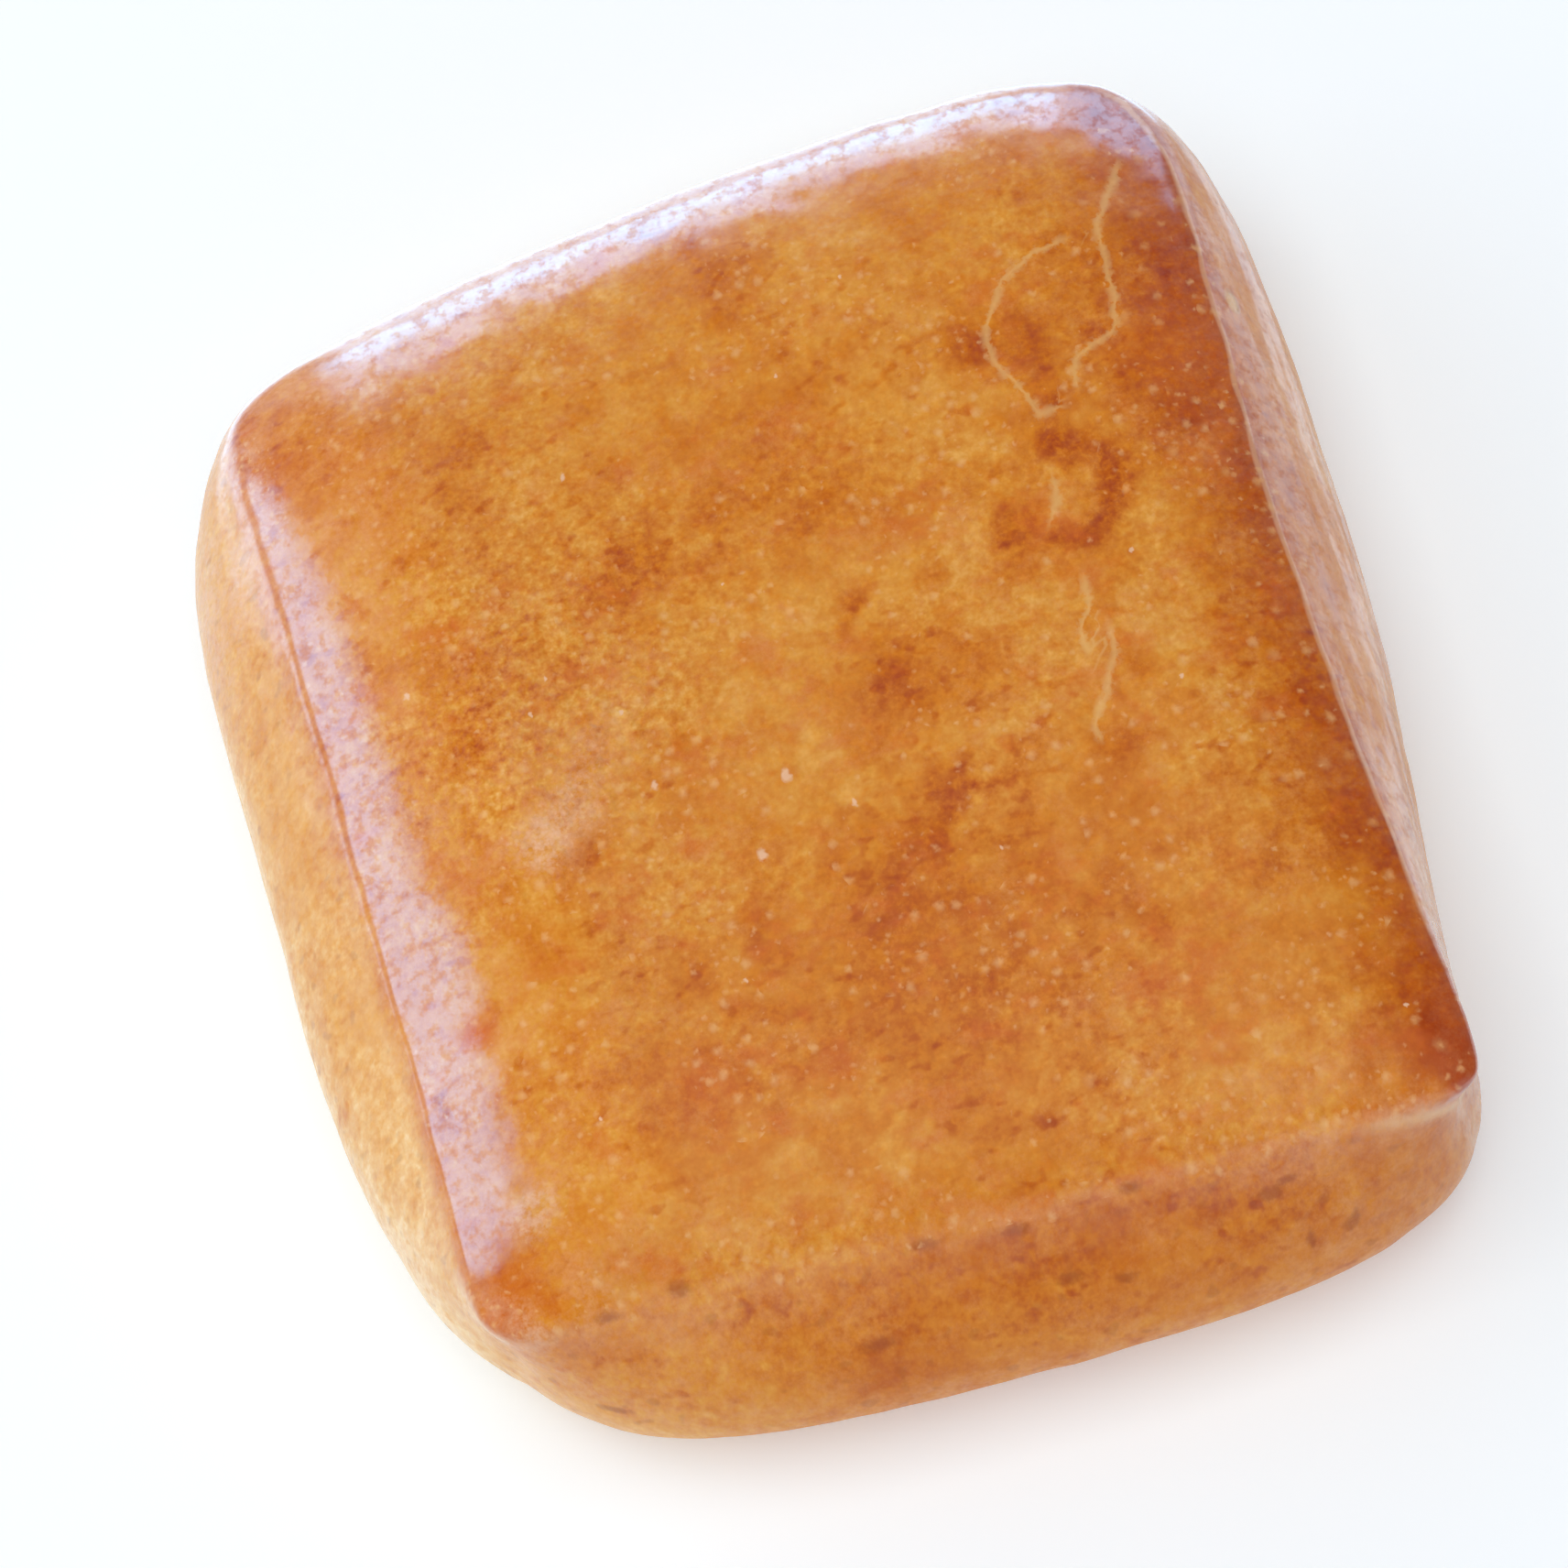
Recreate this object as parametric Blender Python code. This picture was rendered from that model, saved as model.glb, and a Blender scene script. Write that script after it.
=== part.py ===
"""A square bread roll: one piece of dough with a ridge round its top, bulging sides and a flat base.

Metres, +Z up. The roll rests on the plane z = 0, and its box is centred on the origin. +Y is the roll's far
side and +X its right side. A coarse cage holds the form, and a Subdivision Surface modifier rounds it.
"""

import math

import bmesh
import bpy
from mathutils import Matrix, Vector, noise

MM = 0.001

# The corners of the ridge, seen from above, before they are rounded: (x, y)
CORNERS = {
    "front_left": Vector((-41.6, -45.8)) * MM,
    "front_right": Vector((46.0, -50.8)) * MM,
    "back_left": Vector((-42.2, 45.3)) * MM,
    "back_right": Vector((47.9, 51.3)) * MM,
}
HALF_SPAN = 43.0 * MM

# How square the ridge, and the widest line below it, turn each corner: a higher power is a tighter corner
RIDGE_POWER = {"front_left": 30.0, "front_right": 24.0, "back_left": 16.0, "back_right": 8.0}
BELLY_POWER = {"front_left": 5.5, "front_right": 14.0, "back_left": 9.0, "back_right": 8.0}

# At the middle of each side: how far the ridge bows out, and how soft it is
BOW = {"left": -0.9 * MM, "right": -3.0 * MM, "front": 0.2 * MM, "back": 2.3 * MM}
SOFTNESS = {"left": 0.08, "right": 0.15, "front": 0.75, "back": 1.0}

# How soft the ridge is at each corner
CORNER_SOFTNESS = {"front_left": 0.0, "front_right": 0.0, "back_left": 0.4, "back_right": 0.9}

# How far each side swells past its ridge, in mm, at seven even stations: front to back, or left to right
SWELL = {
    "left": (5.6, 7.7, 9.7, 9.9, 9.9, 9.3, 6.8),
    "right": (1.0, 2.6, 5.4, 7.2, 7.3, 6.2, 4.6),
    "front": (5.6, 7.9, 8.6, 8.5, 8.1, 6.3, 1.0),
    "back": (6.4, 5.4, 4.8, 4.4, 4.0, 3.8, 4.6),
}

# How far the side is pinched in just under each corner of the ridge
CORNER_PINCH = {"front_left": 0.5 * MM, "front_right": 2.0 * MM, "back_left": 0.0, "back_right": 0.0}

# The ridge's edges are creased where the ridge is crisp
RIDGE_CREASE = 0.22

# Heights above the base
RIDGE_HEIGHT = {
    "front_left": 29.5 * MM,
    "front_right": 30.5 * MM,
    "back_left": 29.0 * MM,
    "back_right": 31.0 * MM,
}
RIDGE_ARCH = 1.2 * MM

# How far the ridge drops in the last few millimetres before each corner
CORNER_DROP = {"front_left": 0.0, "front_right": 0.0, "back_left": 0.8 * MM, "back_right": 1.5 * MM}

# Rings across the top: how far each is inside the ridge, and how high it stands above it, first where the
# ridge is crisp and then where it is soft
TOP_RINGS = (
    (0.0 * MM, 0.0 * MM, -0.9 * MM),
    (1.8 * MM, 0.7 * MM, 0.5 * MM),
    (4.5 * MM, 1.8 * MM, 1.9 * MM),
    (8.5 * MM, 3.0 * MM, 3.2 * MM),
    (13.5 * MM, 3.8 * MM, 4.0 * MM),
    (19.0 * MM, 4.3 * MM, 4.4 * MM),
    (25.0 * MM, 4.7 * MM, 4.7 * MM),
    (31.0 * MM, 4.9 * MM, 4.9 * MM),
    (37.0 * MM, 5.0 * MM, 5.0 * MM),
    (HALF_SPAN, 5.1 * MM, 5.1 * MM),
)

# Rows down the side: share of the ridge's height, of the swell, of the belly's rounding and of the corner's
# pinch, and a fixed offset
SIDE_ROWS = (
    (0.925, 0.12, 0.12, 0.5, 0.5 * MM),
    (0.83, 0.36, 0.36, 1.0, 0.6 * MM),
    (0.715, 0.64, 0.64, 1.0, 0.3 * MM),
    (0.59, 0.86, 0.86, 0.7, 0.0 * MM),
    (0.46, 0.98, 0.98, 0.3, 0.0 * MM),
    (0.33, 1.00, 1.0, 0.0, 0.0 * MM),
    (0.21, 0.94, 1.0, 0.0, -0.3 * MM),
    (0.11, 0.80, 1.0, 0.0, -0.9 * MM),
    (0.03, 0.60, 1.0, 0.0, -2.2 * MM),
    (0.0, 0.38, 1.0, 0.0, -4.2 * MM),
)

# The dough is never even: slow waves push its skin in and out
WAVE_LENGTH = 26.0 * MM
WAVE_DEPTH = 0.35 * MM
WAVE_ORIGIN = Vector((3.7, 1.9, 8.2))
WAVE_FADE = 10.0 * MM

# A small step round the rim, as a share of half a side, that gives the way along it
RIM_STEP = 0.02

CAGE_ROUNDING = 1
CRUST_COLOUR = (0.63, 0.25, 0.04, 1.0)
CRUST_ROUGHNESS = 0.35


def corner_at(a, b):
    """The name of the corner in the quarter of the unit square that holds (a, b)."""
    return ("front" if b < 0 else "back") + ("_left" if a < 0 else "_right")


def side_at(a, b):
    """The name of the side that (a, b) looks at, and how far along that side it lies, from -1 to 1."""
    if abs(a) >= abs(b):
        return ("left" if a < 0 else "right"), b / max(abs(a), 1e-9)
    return ("front" if b < 0 else "back"), a / abs(b)


def between_corners(values, a, b):
    """A value that runs evenly between those of the four corners, at (a, b) of the unit square."""
    near = values["front_left"] * (1 - a) + values["front_right"] * (1 + a)
    far = values["back_left"] * (1 - a) + values["back_right"] * (1 + a)
    return (near * (1 - b) + far * (1 + b)) / 4


def along_side(values, a, b, power=1.0):
    """The side's value at its middle, fading to nothing at its corners."""
    side, along = side_at(a, b)
    return values[side] * (1 - along * along) ** power


def swell_at(a, b):
    """How far the side swells past the ridge at (a, b) on the rim: a smooth curve through its stations."""
    side, along = side_at(a, b)
    values = SWELL[side]
    gaps = len(values) - 1
    values = (2 * values[0] - values[1], *values, 2 * values[-1] - values[-2])
    place = (along + 1) / 2 * gaps
    start = min(int(place), gaps - 1)
    t = place - start
    p, q, r, s = values[start : start + 4]
    return MM * (q + t * (r - p + t * (2 * p - 5 * q + 4 * r - s + t * (3 * (q - r) + s - p))) / 2)


def rounded(a, b, belly):
    """(a, b) of the unit square drawn in where the outline turns a corner. belly is 0 at the ridge, up to 1."""
    if a == 0 and b == 0:
        return a, b
    angle = math.atan2(b, a)
    corner = corner_at(a, b)
    power = 1 / ((1 - belly) / RIDGE_POWER[corner] + belly / BELLY_POWER[corner])
    reach = (abs(math.cos(angle)) ** power + abs(math.sin(angle)) ** power) ** (-1 / power)
    reach *= max(abs(a), abs(b))
    return reach * math.cos(angle), reach * math.sin(angle)


def plan(a, b, belly=0.0):
    """The point over (a, b) of the unit square, whose rim is the bowed outline with its corners rounded."""
    a, b = rounded(a, b, belly)
    point = between_corners(CORNERS, a, b)
    across = (BOW["right"] * (1 + a) - BOW["left"] * (1 - a)) / 2 * (1 - b * b)
    deep = (BOW["back"] * (1 + b) - BOW["front"] * (1 - b)) / 2 * (1 - a * a)
    return point + Vector((across, deep))


def outward(a, b, belly=0.0):
    """The way out of the roll, level and square to the outline, at (a, b) on the rim."""
    side, _ = side_at(a, b)
    turns = {"left": (0, -RIM_STEP), "right": (0, RIM_STEP), "front": (RIM_STEP, 0), "back": (-RIM_STEP, 0)}
    turn = turns[side]
    ahead = on_rim(a + turn[0], b + turn[1])
    behind = on_rim(a - turn[0], b - turn[1])
    run = plan(*ahead, belly) - plan(*behind, belly)
    return Vector((run.y, -run.x)).normalized()


def on_rim(a, b):
    """(a, b) moved straight out from the middle to the rim of the unit square."""
    ring = max(abs(a), abs(b))
    return a / ring, b / ring


def ridge_height(a, b):
    drop = CORNER_DROP[corner_at(a, b)] * abs(a * b) ** 5
    return between_corners(RIDGE_HEIGHT, a, b) + along_side(dict.fromkeys(BOW, RIDGE_ARCH), a, b) - drop


def softness_at(a, b):
    """How soft the ridge is at (a, b) on the rim, or further in on the same line."""
    _, along = side_at(a, b)
    return along_side(SOFTNESS, a, b, 0.5) + CORNER_SOFTNESS[corner_at(a, b)] * along**4


def top_point(a, b, ring):
    """A cage point on the top. ring counts the rings in from the ridge."""
    inset, crisp, soft = TOP_RINGS[ring]
    share = 1 - inset / HALF_SPAN
    softness = softness_at(a, b)
    level = ridge_height(a, b) * share**2 + between_corners(RIDGE_HEIGHT, 0, 0) * (1 - share**2)
    x, y = plan(a, b)
    return Vector((x, y, level + crisp + (soft - crisp) * softness))


def side_point(a, b, row):
    """A cage point on the side, under (a, b) of the rim. row counts down from the ridge."""
    height, swell_share, belly, pinch_share, offset = SIDE_ROWS[row]
    pinch = between_corners(CORNER_PINCH, a, b) * max(2 * abs(a * b) - 1, 0)
    out = swell_share * swell_at(a, b) - pinch_share * pinch + offset
    x, y = plan(a, b, belly) + outward(a, b, belly) * out
    return Vector((x, y, height * ridge_height(a, b)))


def base_point(a, b, ring):
    """A cage point on the flat base, the shape of the last row of the side drawn in towards the middle."""
    share = 1 - TOP_RINGS[ring][0] / HALF_SPAN
    if share == 0:
        return Vector((0, 0, 0))
    x, y, _ = side_point(*on_rim(a, b), len(SIDE_ROWS) - 1)
    return Vector((x * share, y * share, 0))


def wave(point):
    """The slow unevenness of the dough at a point, in metres."""
    return WAVE_DEPTH * noise.noise(point / WAVE_LENGTH + WAVE_ORIGIN)


def uneven(point, a, b):
    """The point pushed out or in by the slow waves. The base stays flat."""
    depth = wave(point) * min(point.z / WAVE_FADE, 1)
    way = Vector((*outward(*on_rim(a, b)), 0)) if max(abs(a), abs(b)) == 1 else Vector((0, 0, 1))
    return point + way * depth


def square_grid(bm, place):
    """A grid of vertices over the unit square. Its lines are as far apart as the rings across the top."""
    shares = [1 - inset / HALF_SPAN for inset, _, _ in TOP_RINGS]
    lines = [-share for share in shares] + shares[-2::-1]
    last = len(lines) - 1
    return [
        [bm.verts.new(place(a, b, min(i, j, last - i, last - j))) for j, b in enumerate(lines)]
        for i, a in enumerate(lines)
    ], lines


def rim_of(grid):
    """The places of the grid's outer vertices, anticlockwise seen from above, from the front left corner."""
    last = len(grid) - 1
    front = [(i, 0) for i in range(last)]
    right = [(last, j) for j in range(last)]
    back = [(last - i, last) for i in range(last)]
    left = [(0, last - j) for j in range(last)]
    return front + right + back + left


def cage():
    """The coarse closed mesh: a grid for the top, rows round the side and a grid for the base."""
    bm = bmesh.new()
    crease = bm.edges.layers.float.new("crease_edge")
    top, lines = square_grid(bm, lambda a, b, ring: uneven(top_point(a, b, ring), a, b))
    base, _ = square_grid(bm, base_point)
    rim = rim_of(top)
    places = [(lines[i], lines[j]) for i, j in rim]
    loops = [[top[i][j] for i, j in rim]]
    for row in range(len(SIDE_ROWS) - 1):
        loops.append([bm.verts.new(uneven(side_point(a, b, row), a, b)) for a, b in places])
    loops.append([base[i][j] for i, j in rim])

    for i in range(len(lines) - 1):
        for j in range(len(lines) - 1):
            bm.faces.new((top[i][j], top[i + 1][j], top[i + 1][j + 1], top[i][j + 1]))
            bm.faces.new((base[i][j], base[i][j + 1], base[i + 1][j + 1], base[i + 1][j]))
    for upper, lower in zip(loops, loops[1:]):
        for n in range(len(rim)):
            after = (n + 1) % len(rim)
            bm.faces.new((upper[n], lower[n], lower[after], upper[after]))
    ridge = loops[0]
    for n, (a, b) in enumerate(places):
        edge = bm.edges.get((ridge[n], ridge[(n + 1) % len(ridge)]))
        edge[crease] = RIDGE_CREASE * (1 - softness_at(a, b))
    mesh = bpy.data.meshes.new("bread_roll")
    bm.to_mesh(mesh)
    bm.free()
    return mesh


def crust_material():
    material = bpy.data.materials.new("glazed_crust")
    material.use_nodes = True
    shader = material.node_tree.nodes["Principled BSDF"]
    shader.inputs["Base Color"].default_value = CRUST_COLOUR
    shader.inputs["Roughness"].default_value = CRUST_ROUGHNESS
    shader.inputs["Metallic"].default_value = 0.0
    return material


def centre_on_origin(roll):
    """Moves the mesh so that the rounded form's box is centred over the origin and its base is at z = 0."""
    bpy.context.view_layer.update()
    form = roll.evaluated_get(bpy.context.evaluated_depsgraph_get()).data
    points = [vertex.co for vertex in form.vertices]
    low = Vector(min(point[axis] for point in points) for axis in range(3))
    high = Vector(max(point[axis] for point in points) for axis in range(3))
    middle = (low + high) / 2
    roll.data.transform(Matrix.Translation((-middle.x, -middle.y, -low.z)))


def main():
    for leftover in list(bpy.data.objects):
        bpy.data.objects.remove(leftover)
    roll = bpy.data.objects.new("bread_roll", cage())
    bpy.context.scene.collection.objects.link(roll)
    rounding = roll.modifiers.new("Rounding", "SUBSURF")
    rounding.levels = CAGE_ROUNDING
    rounding.render_levels = CAGE_ROUNDING
    roll.data.shade_smooth()
    roll.data.materials.append(crust_material())
    centre_on_origin(roll)


main()
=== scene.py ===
"""The looks of the square bread roll: its glazed crust at full detail, a floor, soft light and the camera.

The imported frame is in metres, with +Z up, +Y to the roll's far side and +X to its right. The roll's skin is
built from the same cage as the CAD solid, rounded further, and then given the fine relief of a baked crust.
"""

import math

import bmesh
import bpy
import numpy as np
from mathutils import Matrix, Vector, noise


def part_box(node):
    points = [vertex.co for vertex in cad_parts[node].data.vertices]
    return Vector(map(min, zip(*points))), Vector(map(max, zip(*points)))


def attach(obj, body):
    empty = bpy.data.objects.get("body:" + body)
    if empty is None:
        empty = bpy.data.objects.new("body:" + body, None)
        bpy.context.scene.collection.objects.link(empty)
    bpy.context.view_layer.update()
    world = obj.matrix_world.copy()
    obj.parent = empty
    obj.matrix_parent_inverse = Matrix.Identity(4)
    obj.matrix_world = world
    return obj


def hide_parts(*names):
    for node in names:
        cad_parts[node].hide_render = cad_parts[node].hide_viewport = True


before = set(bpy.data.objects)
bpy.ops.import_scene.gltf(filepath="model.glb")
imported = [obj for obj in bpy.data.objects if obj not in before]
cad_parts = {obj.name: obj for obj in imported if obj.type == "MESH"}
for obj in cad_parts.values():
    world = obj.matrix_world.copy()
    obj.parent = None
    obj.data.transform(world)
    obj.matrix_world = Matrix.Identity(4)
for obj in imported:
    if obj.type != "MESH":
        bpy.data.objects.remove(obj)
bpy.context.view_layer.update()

MM = 0.001

# The form, with the same values as the CAD solid

# The corners of the ridge, seen from above, before they are rounded: (x, y)
CORNERS = {
    "front_left": Vector((-41.6, -45.8)) * MM,
    "front_right": Vector((46.0, -50.8)) * MM,
    "back_left": Vector((-42.2, 45.3)) * MM,
    "back_right": Vector((47.9, 51.3)) * MM,
}

# How square the ridge, and the widest line below it, turn each corner: a higher power is a tighter corner
RIDGE_POWER = {"front_left": 30.0, "front_right": 24.0, "back_left": 16.0, "back_right": 8.0}
BELLY_POWER = {"front_left": 5.5, "front_right": 14.0, "back_left": 9.0, "back_right": 8.0}

# At the middle of each side: how far the ridge bows out, and how soft it is
BOW = {"left": -0.9 * MM, "right": -3.0 * MM, "front": 0.2 * MM, "back": 2.3 * MM}
SOFTNESS = {"left": 0.08, "right": 0.15, "front": 0.75, "back": 1.0}

# How soft the ridge is at each corner
CORNER_SOFTNESS = {"front_left": 0.0, "front_right": 0.0, "back_left": 0.4, "back_right": 0.9}

# How far each side swells past its ridge, in mm, at seven even stations: front to back, or left to right
SWELL = {
    "left": (5.6, 7.7, 9.7, 9.9, 9.9, 9.3, 6.8),
    "right": (1.0, 2.6, 5.4, 7.2, 7.3, 6.2, 4.6),
    "front": (5.6, 7.9, 8.6, 8.5, 8.1, 6.3, 1.0),
    "back": (6.4, 5.4, 4.8, 4.4, 4.0, 3.8, 4.6),
}

# How far the side is pinched in just under each corner of the ridge
CORNER_PINCH = {"front_left": 0.5 * MM, "front_right": 2.0 * MM, "back_left": 0.0, "back_right": 0.0}

# The ridge's edges are creased where the ridge is crisp
RIDGE_CREASE = 0.22

# Heights above the base
RIDGE_HEIGHT = {
    "front_left": 29.5 * MM,
    "front_right": 30.5 * MM,
    "back_left": 29.0 * MM,
    "back_right": 31.0 * MM,
}
RIDGE_ARCH = 1.2 * MM

# How far the ridge drops in the last few millimetres before each corner
CORNER_DROP = {"front_left": 0.0, "front_right": 0.0, "back_left": 0.8 * MM, "back_right": 1.5 * MM}

# Rings across the top: how far each is inside the ridge, and how high it stands above it, first where the
# ridge is crisp and then where it is soft
TOP_RINGS_MM = (
    (0.0, 0.0, -0.9),
    (1.8, 0.7, 0.5),
    (4.5, 1.8, 1.9),
    (8.5, 3.0, 3.2),
    (13.5, 3.8, 4.0),
    (19.0, 4.3, 4.4),
    (25.0, 4.7, 4.7),
    (31.0, 4.9, 4.9),
    (37.0, 5.0, 5.0),
    (43.0, 5.1, 5.1),
)
TOP_RINGS = tuple(tuple(part * MM for part in ring) for ring in TOP_RINGS_MM)
HALF_SPAN = TOP_RINGS[-1][0]

# Rows down the side: share of the ridge's height, of the swell, of the belly's rounding and of the corner's
# pinch, and a fixed offset
SIDE_ROWS = (
    (0.925, 0.12, 0.12, 0.5, 0.5 * MM),
    (0.83, 0.36, 0.36, 1.0, 0.6 * MM),
    (0.715, 0.64, 0.64, 1.0, 0.3 * MM),
    (0.59, 0.86, 0.86, 0.7, 0.0 * MM),
    (0.46, 0.98, 0.98, 0.3, 0.0 * MM),
    (0.33, 1.00, 1.0, 0.0, 0.0 * MM),
    (0.21, 0.94, 1.0, 0.0, -0.3 * MM),
    (0.11, 0.80, 1.0, 0.0, -0.9 * MM),
    (0.03, 0.60, 1.0, 0.0, -2.2 * MM),
    (0.0, 0.38, 1.0, 0.0, -4.2 * MM),
)

# The dough is never even: slow waves push its skin in and out
WAVE_LENGTH = 26.0 * MM
WAVE_DEPTH = 0.35 * MM
WAVE_ORIGIN = Vector((3.7, 1.9, 8.2))
WAVE_FADE = 10.0 * MM

# A small step round the rim, as a share of half a side, that gives the way along it
RIM_STEP = 0.02

# Three roundings of the cage put the skin's points about 0.6 mm apart
CAGE_ROUNDING = 3

# The crust's relief: wavelength and depth of each layer, in mm
RELIEF = ((9.0, 0.16), (4.3, 0.08), (2.4, 0.05))
RELIEF_ORIGIN = 11.3

# Noise is turned by this, so that its grain never follows the axes
OBLIQUE = np.array(Matrix.Rotation(0.9, 3, Vector((1.0, 2.0, 3.0)).normalized()))

# Where each finish sets in or ends on the way down a side, as shares of the ridge's height below the ridge
SIDE_BEGINS = (-0.01, 0.10)
SIDE_GLAZE_BEGINS = (-0.04, 0.25)
FOLD_HIGHLIGHT_BEGINS = (0.0, 0.04)
CREST_ENDS = (0.22, 0.05)
PALER_FROM = (0.1, 0.9)
RELIEF_ENDS = (0.8, 0.97)
BASE_BEGINS = (0.985, 1.06)

# How far baked the crust is: 0 is pale, 0.5 golden, 1 dark brown
TOP_BAKE = 0.405
SIDE_BAKE = {"left": 0.29, "right": 0.56, "front": 0.60, "back": 0.42}
LOW_SIDE_BAKE = {"left": -0.04, "right": 0.44, "front": 0.46, "back": 0.28}
BASE_BAKE = 0.66

# How much glaze each side has. The top has 1
SIDE_GLAZE = {"left": 0.6, "right": 1.0, "front": 0.12, "back": 0.9}

# How strongly the dough's flow lines mark each side
SIDE_STREAKS = {"left": 0.25, "right": 1.2, "front": 0.10, "back": 0.8}

# They set in this many mm away from the front right corner
STREAKS_BEGIN = (16.0, 34.0)

# Browner along each ridge: how much, and over how many mm of the top inside it
RIDGE_BROWNING = {"left": (0.12, 4.0), "right": (0.33, 6.5), "front": (0.03, 6.0), "back": (0.08, 6.0)}

# Layers of noise that make an edge ragged: the wavelength of each in mm, its origin and its strength
RIDGE_RAGGED = ((7.0, 41.0, 0.5), (2.6, 17.0, 0.4))
BLOTCH_RAGGED = ((3.4, 23.0, 0.7), (1.5, 31.0, 0.5))
HAZE_AND_SHEEN_RAGGED = ((5.0, 61.0, 0.5),)
RED_RAGGED = ((3.0, 101.0, 0.6), (1.4, 105.0, 0.4))

# Browner at each corner: how much, and over how many mm
CORNER_BROWNING = {
    "front_left": (0.10, 6.0),
    "front_right": (0.24, 7.0),
    "back_left": (0.04, 8.0),
    "back_right": (0.08, 12.0),
}

# Brown blotches on the top: x, y, radius, in mm, and how much browner
BLOTCHES = (
    (27.3, 17.5, 2.4, 0.14),
    (21.3, 6.7, 1.8, 0.22),
    (21.8, 27.8, 3.4, 0.20),
    (26.6, 24.8, 3.2, 0.18),
    (22.5, 10.5, 3.5, 0.08),
    (-10.3, 18.7, 3.0, 0.20),
    (-13.0, 15.8, 3.0, 0.13),
    (9.6, -12.2, 3.6, 0.20),
    (4.4, 20.4, 7.5, 0.14),
    (-22.7, 31.5, 2.5, 0.18),
    (-27.7, 13.1, 2.6, 0.20),
    (-29.4, 6.6, 2.6, 0.16),
    (-18.8, -31.5, 4.2, 0.15),
    (-22.5, -7.3, 2.2, 0.20),
    (3.8, 42.0, 3.4, 0.16),
    (5.8, 6.8, 1.1, 0.26),
    (6.3, -1.4, 4.2, 0.13),
    (37.5, 19.0, 7.0, 0.14),
    (36.0, 30.0, 7.0, 0.12),
    (28.0, -6.0, 3.0, 0.16),
    (24.6, -12.0, 2.0, 0.18),
    (39.0, -25.0, 6.0, 0.08),
    (12.0, -2.0, 5.0, 0.10),
    (-33.0, 33.0, 7.0, 0.06),
    (2.0, -26.0, 14.0, 0.21),
    (22.0, -30.0, 12.0, 0.08),
    (21.4, 8.8, 1.5, 0.22),
    (27.4, 19.0, 1.6, 0.16),
)

# One blotch is a ring: x, y, radius and width, in mm, and how much browner
RING = (26.6, 11.6, 4.5, 1.5, 0.40)

# The ring is darkest this many radians clockwise of +X, and its width is ragged by this share
RING_TURN = 0.3
RING_RAGGED = 0.4

# Pinkish pale patches, partly dull glaze and partly painted sheen: x, y, radius, in mm, and how pale
HAZE_AND_SHEEN_PATCHES = (
    (-25.0, -5.5, 3.0, 0.38),
    (-21.5, -1.5, 4.0, 0.30),
    (-17.5, 3.5, 6.0, 0.18),
    (-35.5, 1.5, 4.0, 0.20),
    (-37.0, -34.5, 3.5, 0.16),
    (-33.6, -35.6, 2.4, 0.34),
    (-51.0, -32.0, 11.0, 0.30),
    (56.0, 14.0, 11.0, 0.50),
    (0.0, -28.0, 14.0, -0.06),
    (30.0, -52.0, 7.0, 0.22),
    (38.0, -51.0, 4.0, 0.12),
    (-28.0, -50.0, 8.0, 0.16),
    (-38.5, -45.0, 3.5, 0.26),
    (17.5, 12.5, 2.0, 0.16),
    (-52.0, 32.0, 12.0, 0.70),
    (-22.0, -24.0, 7.0, 0.12),
)

# Haze and painted sheen all over the top, and along three ridges: how much, how far inside the ridge and
# over how many mm
HAZE_AND_SHEEN_ALL_OVER = -0.01
RIDGE_HAZE_AND_SHEEN = {"left": (0.10, 9.0, 5.0), "right": (0.08, 0.0, 2.0), "front": (0.07, 0.0, 6.0)}

# The sides lose this share of the haze and painted sheen
SIDE_HAZE_AND_SHEEN_LOSS = 0.3

# Redder patches of the top: x, y, radius, in mm, and how red
RED_PATCHES = (
    (-39.5, -42.5, 4.0, 0.55),
    (-40.0, 36.0, 5.0, 0.25),
    (-31.0, 33.0, 5.0, 0.25),
    (43.5, -46.0, 5.0, 0.25),
    (40.0, 22.0, 6.0, 0.35),
    (-18.0, -30.0, 3.5, 0.50),
    (-35.0, -19.5, 2.0, 0.80),
)

# Where the sides are more or less baked than around: x, y, radius, in mm, and how much browner
SIDE_PATCHES = (
    (-50.0, -34.0, 11.0, -0.22),
    (-28.0, -50.0, 9.0, -0.12),
    (40.0, -52.0, 6.0, 0.06),
)

# One patch of the top is leathery: x, y, radius, in mm, and how much
LEATHERY_PATCH = (-24.0, 6.0, 15.0, 1.0)

# Drifts: the wavelength in mm and the origin of a noise from -1 to 1, and the values between which it sets in
MOTTLE_DRIFTS = (3.0, 131.0, 0.04, 0.40)
CREST_DRIFTS = (6.0, 81.0, -0.15, 0.10)
SPECK_DRIFTS = (14.0, 113.0, -0.20, 0.20)
GRAIN_DRIFTS = (12.0, 119.0, -0.20, 0.20)
DOT_DRIFTS = (9.0, 127.0, -0.12, 0.28)

# How strong the mottles, the grain and the dots are in their drifts, and also elsewhere
MOTTLE_BROWNING = 0.07
GRAIN_ALL_OVER, GRAIN_IN_DRIFTS, GRAIN_ON_LEATHER = 0.5, 0.6, 1.2
DOTS_ALL_OVER, DOTS_IN_DRIFTS = 0.05, 0.7

# The front crest is dotted over this many mm inside its ridge
CREST_REACH = 4.0

# A painted highlight runs along the right ridge as a pale line: it sets in between these shares of the way
# across and deep
RIDGE_HIGHLIGHT_ACROSS = (0.90, 0.98)
RIDGE_HIGHLIGHT_DEEP = (-0.85, -0.60)
RIDGE_HIGHLIGHT_SWAY = ((4.0, 137.0, 0.5),)

# Larger blisters lie in bands inside two ridges: how many, how far in, over how many mm, and where along the
# ridge the band sets in
BLISTER_BANDS = {"right": (1.0, 3.5, 4.0, (-0.75, -0.45)), "front": (0.7, 7.0, 3.5, (0.1, 0.6))}

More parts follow.
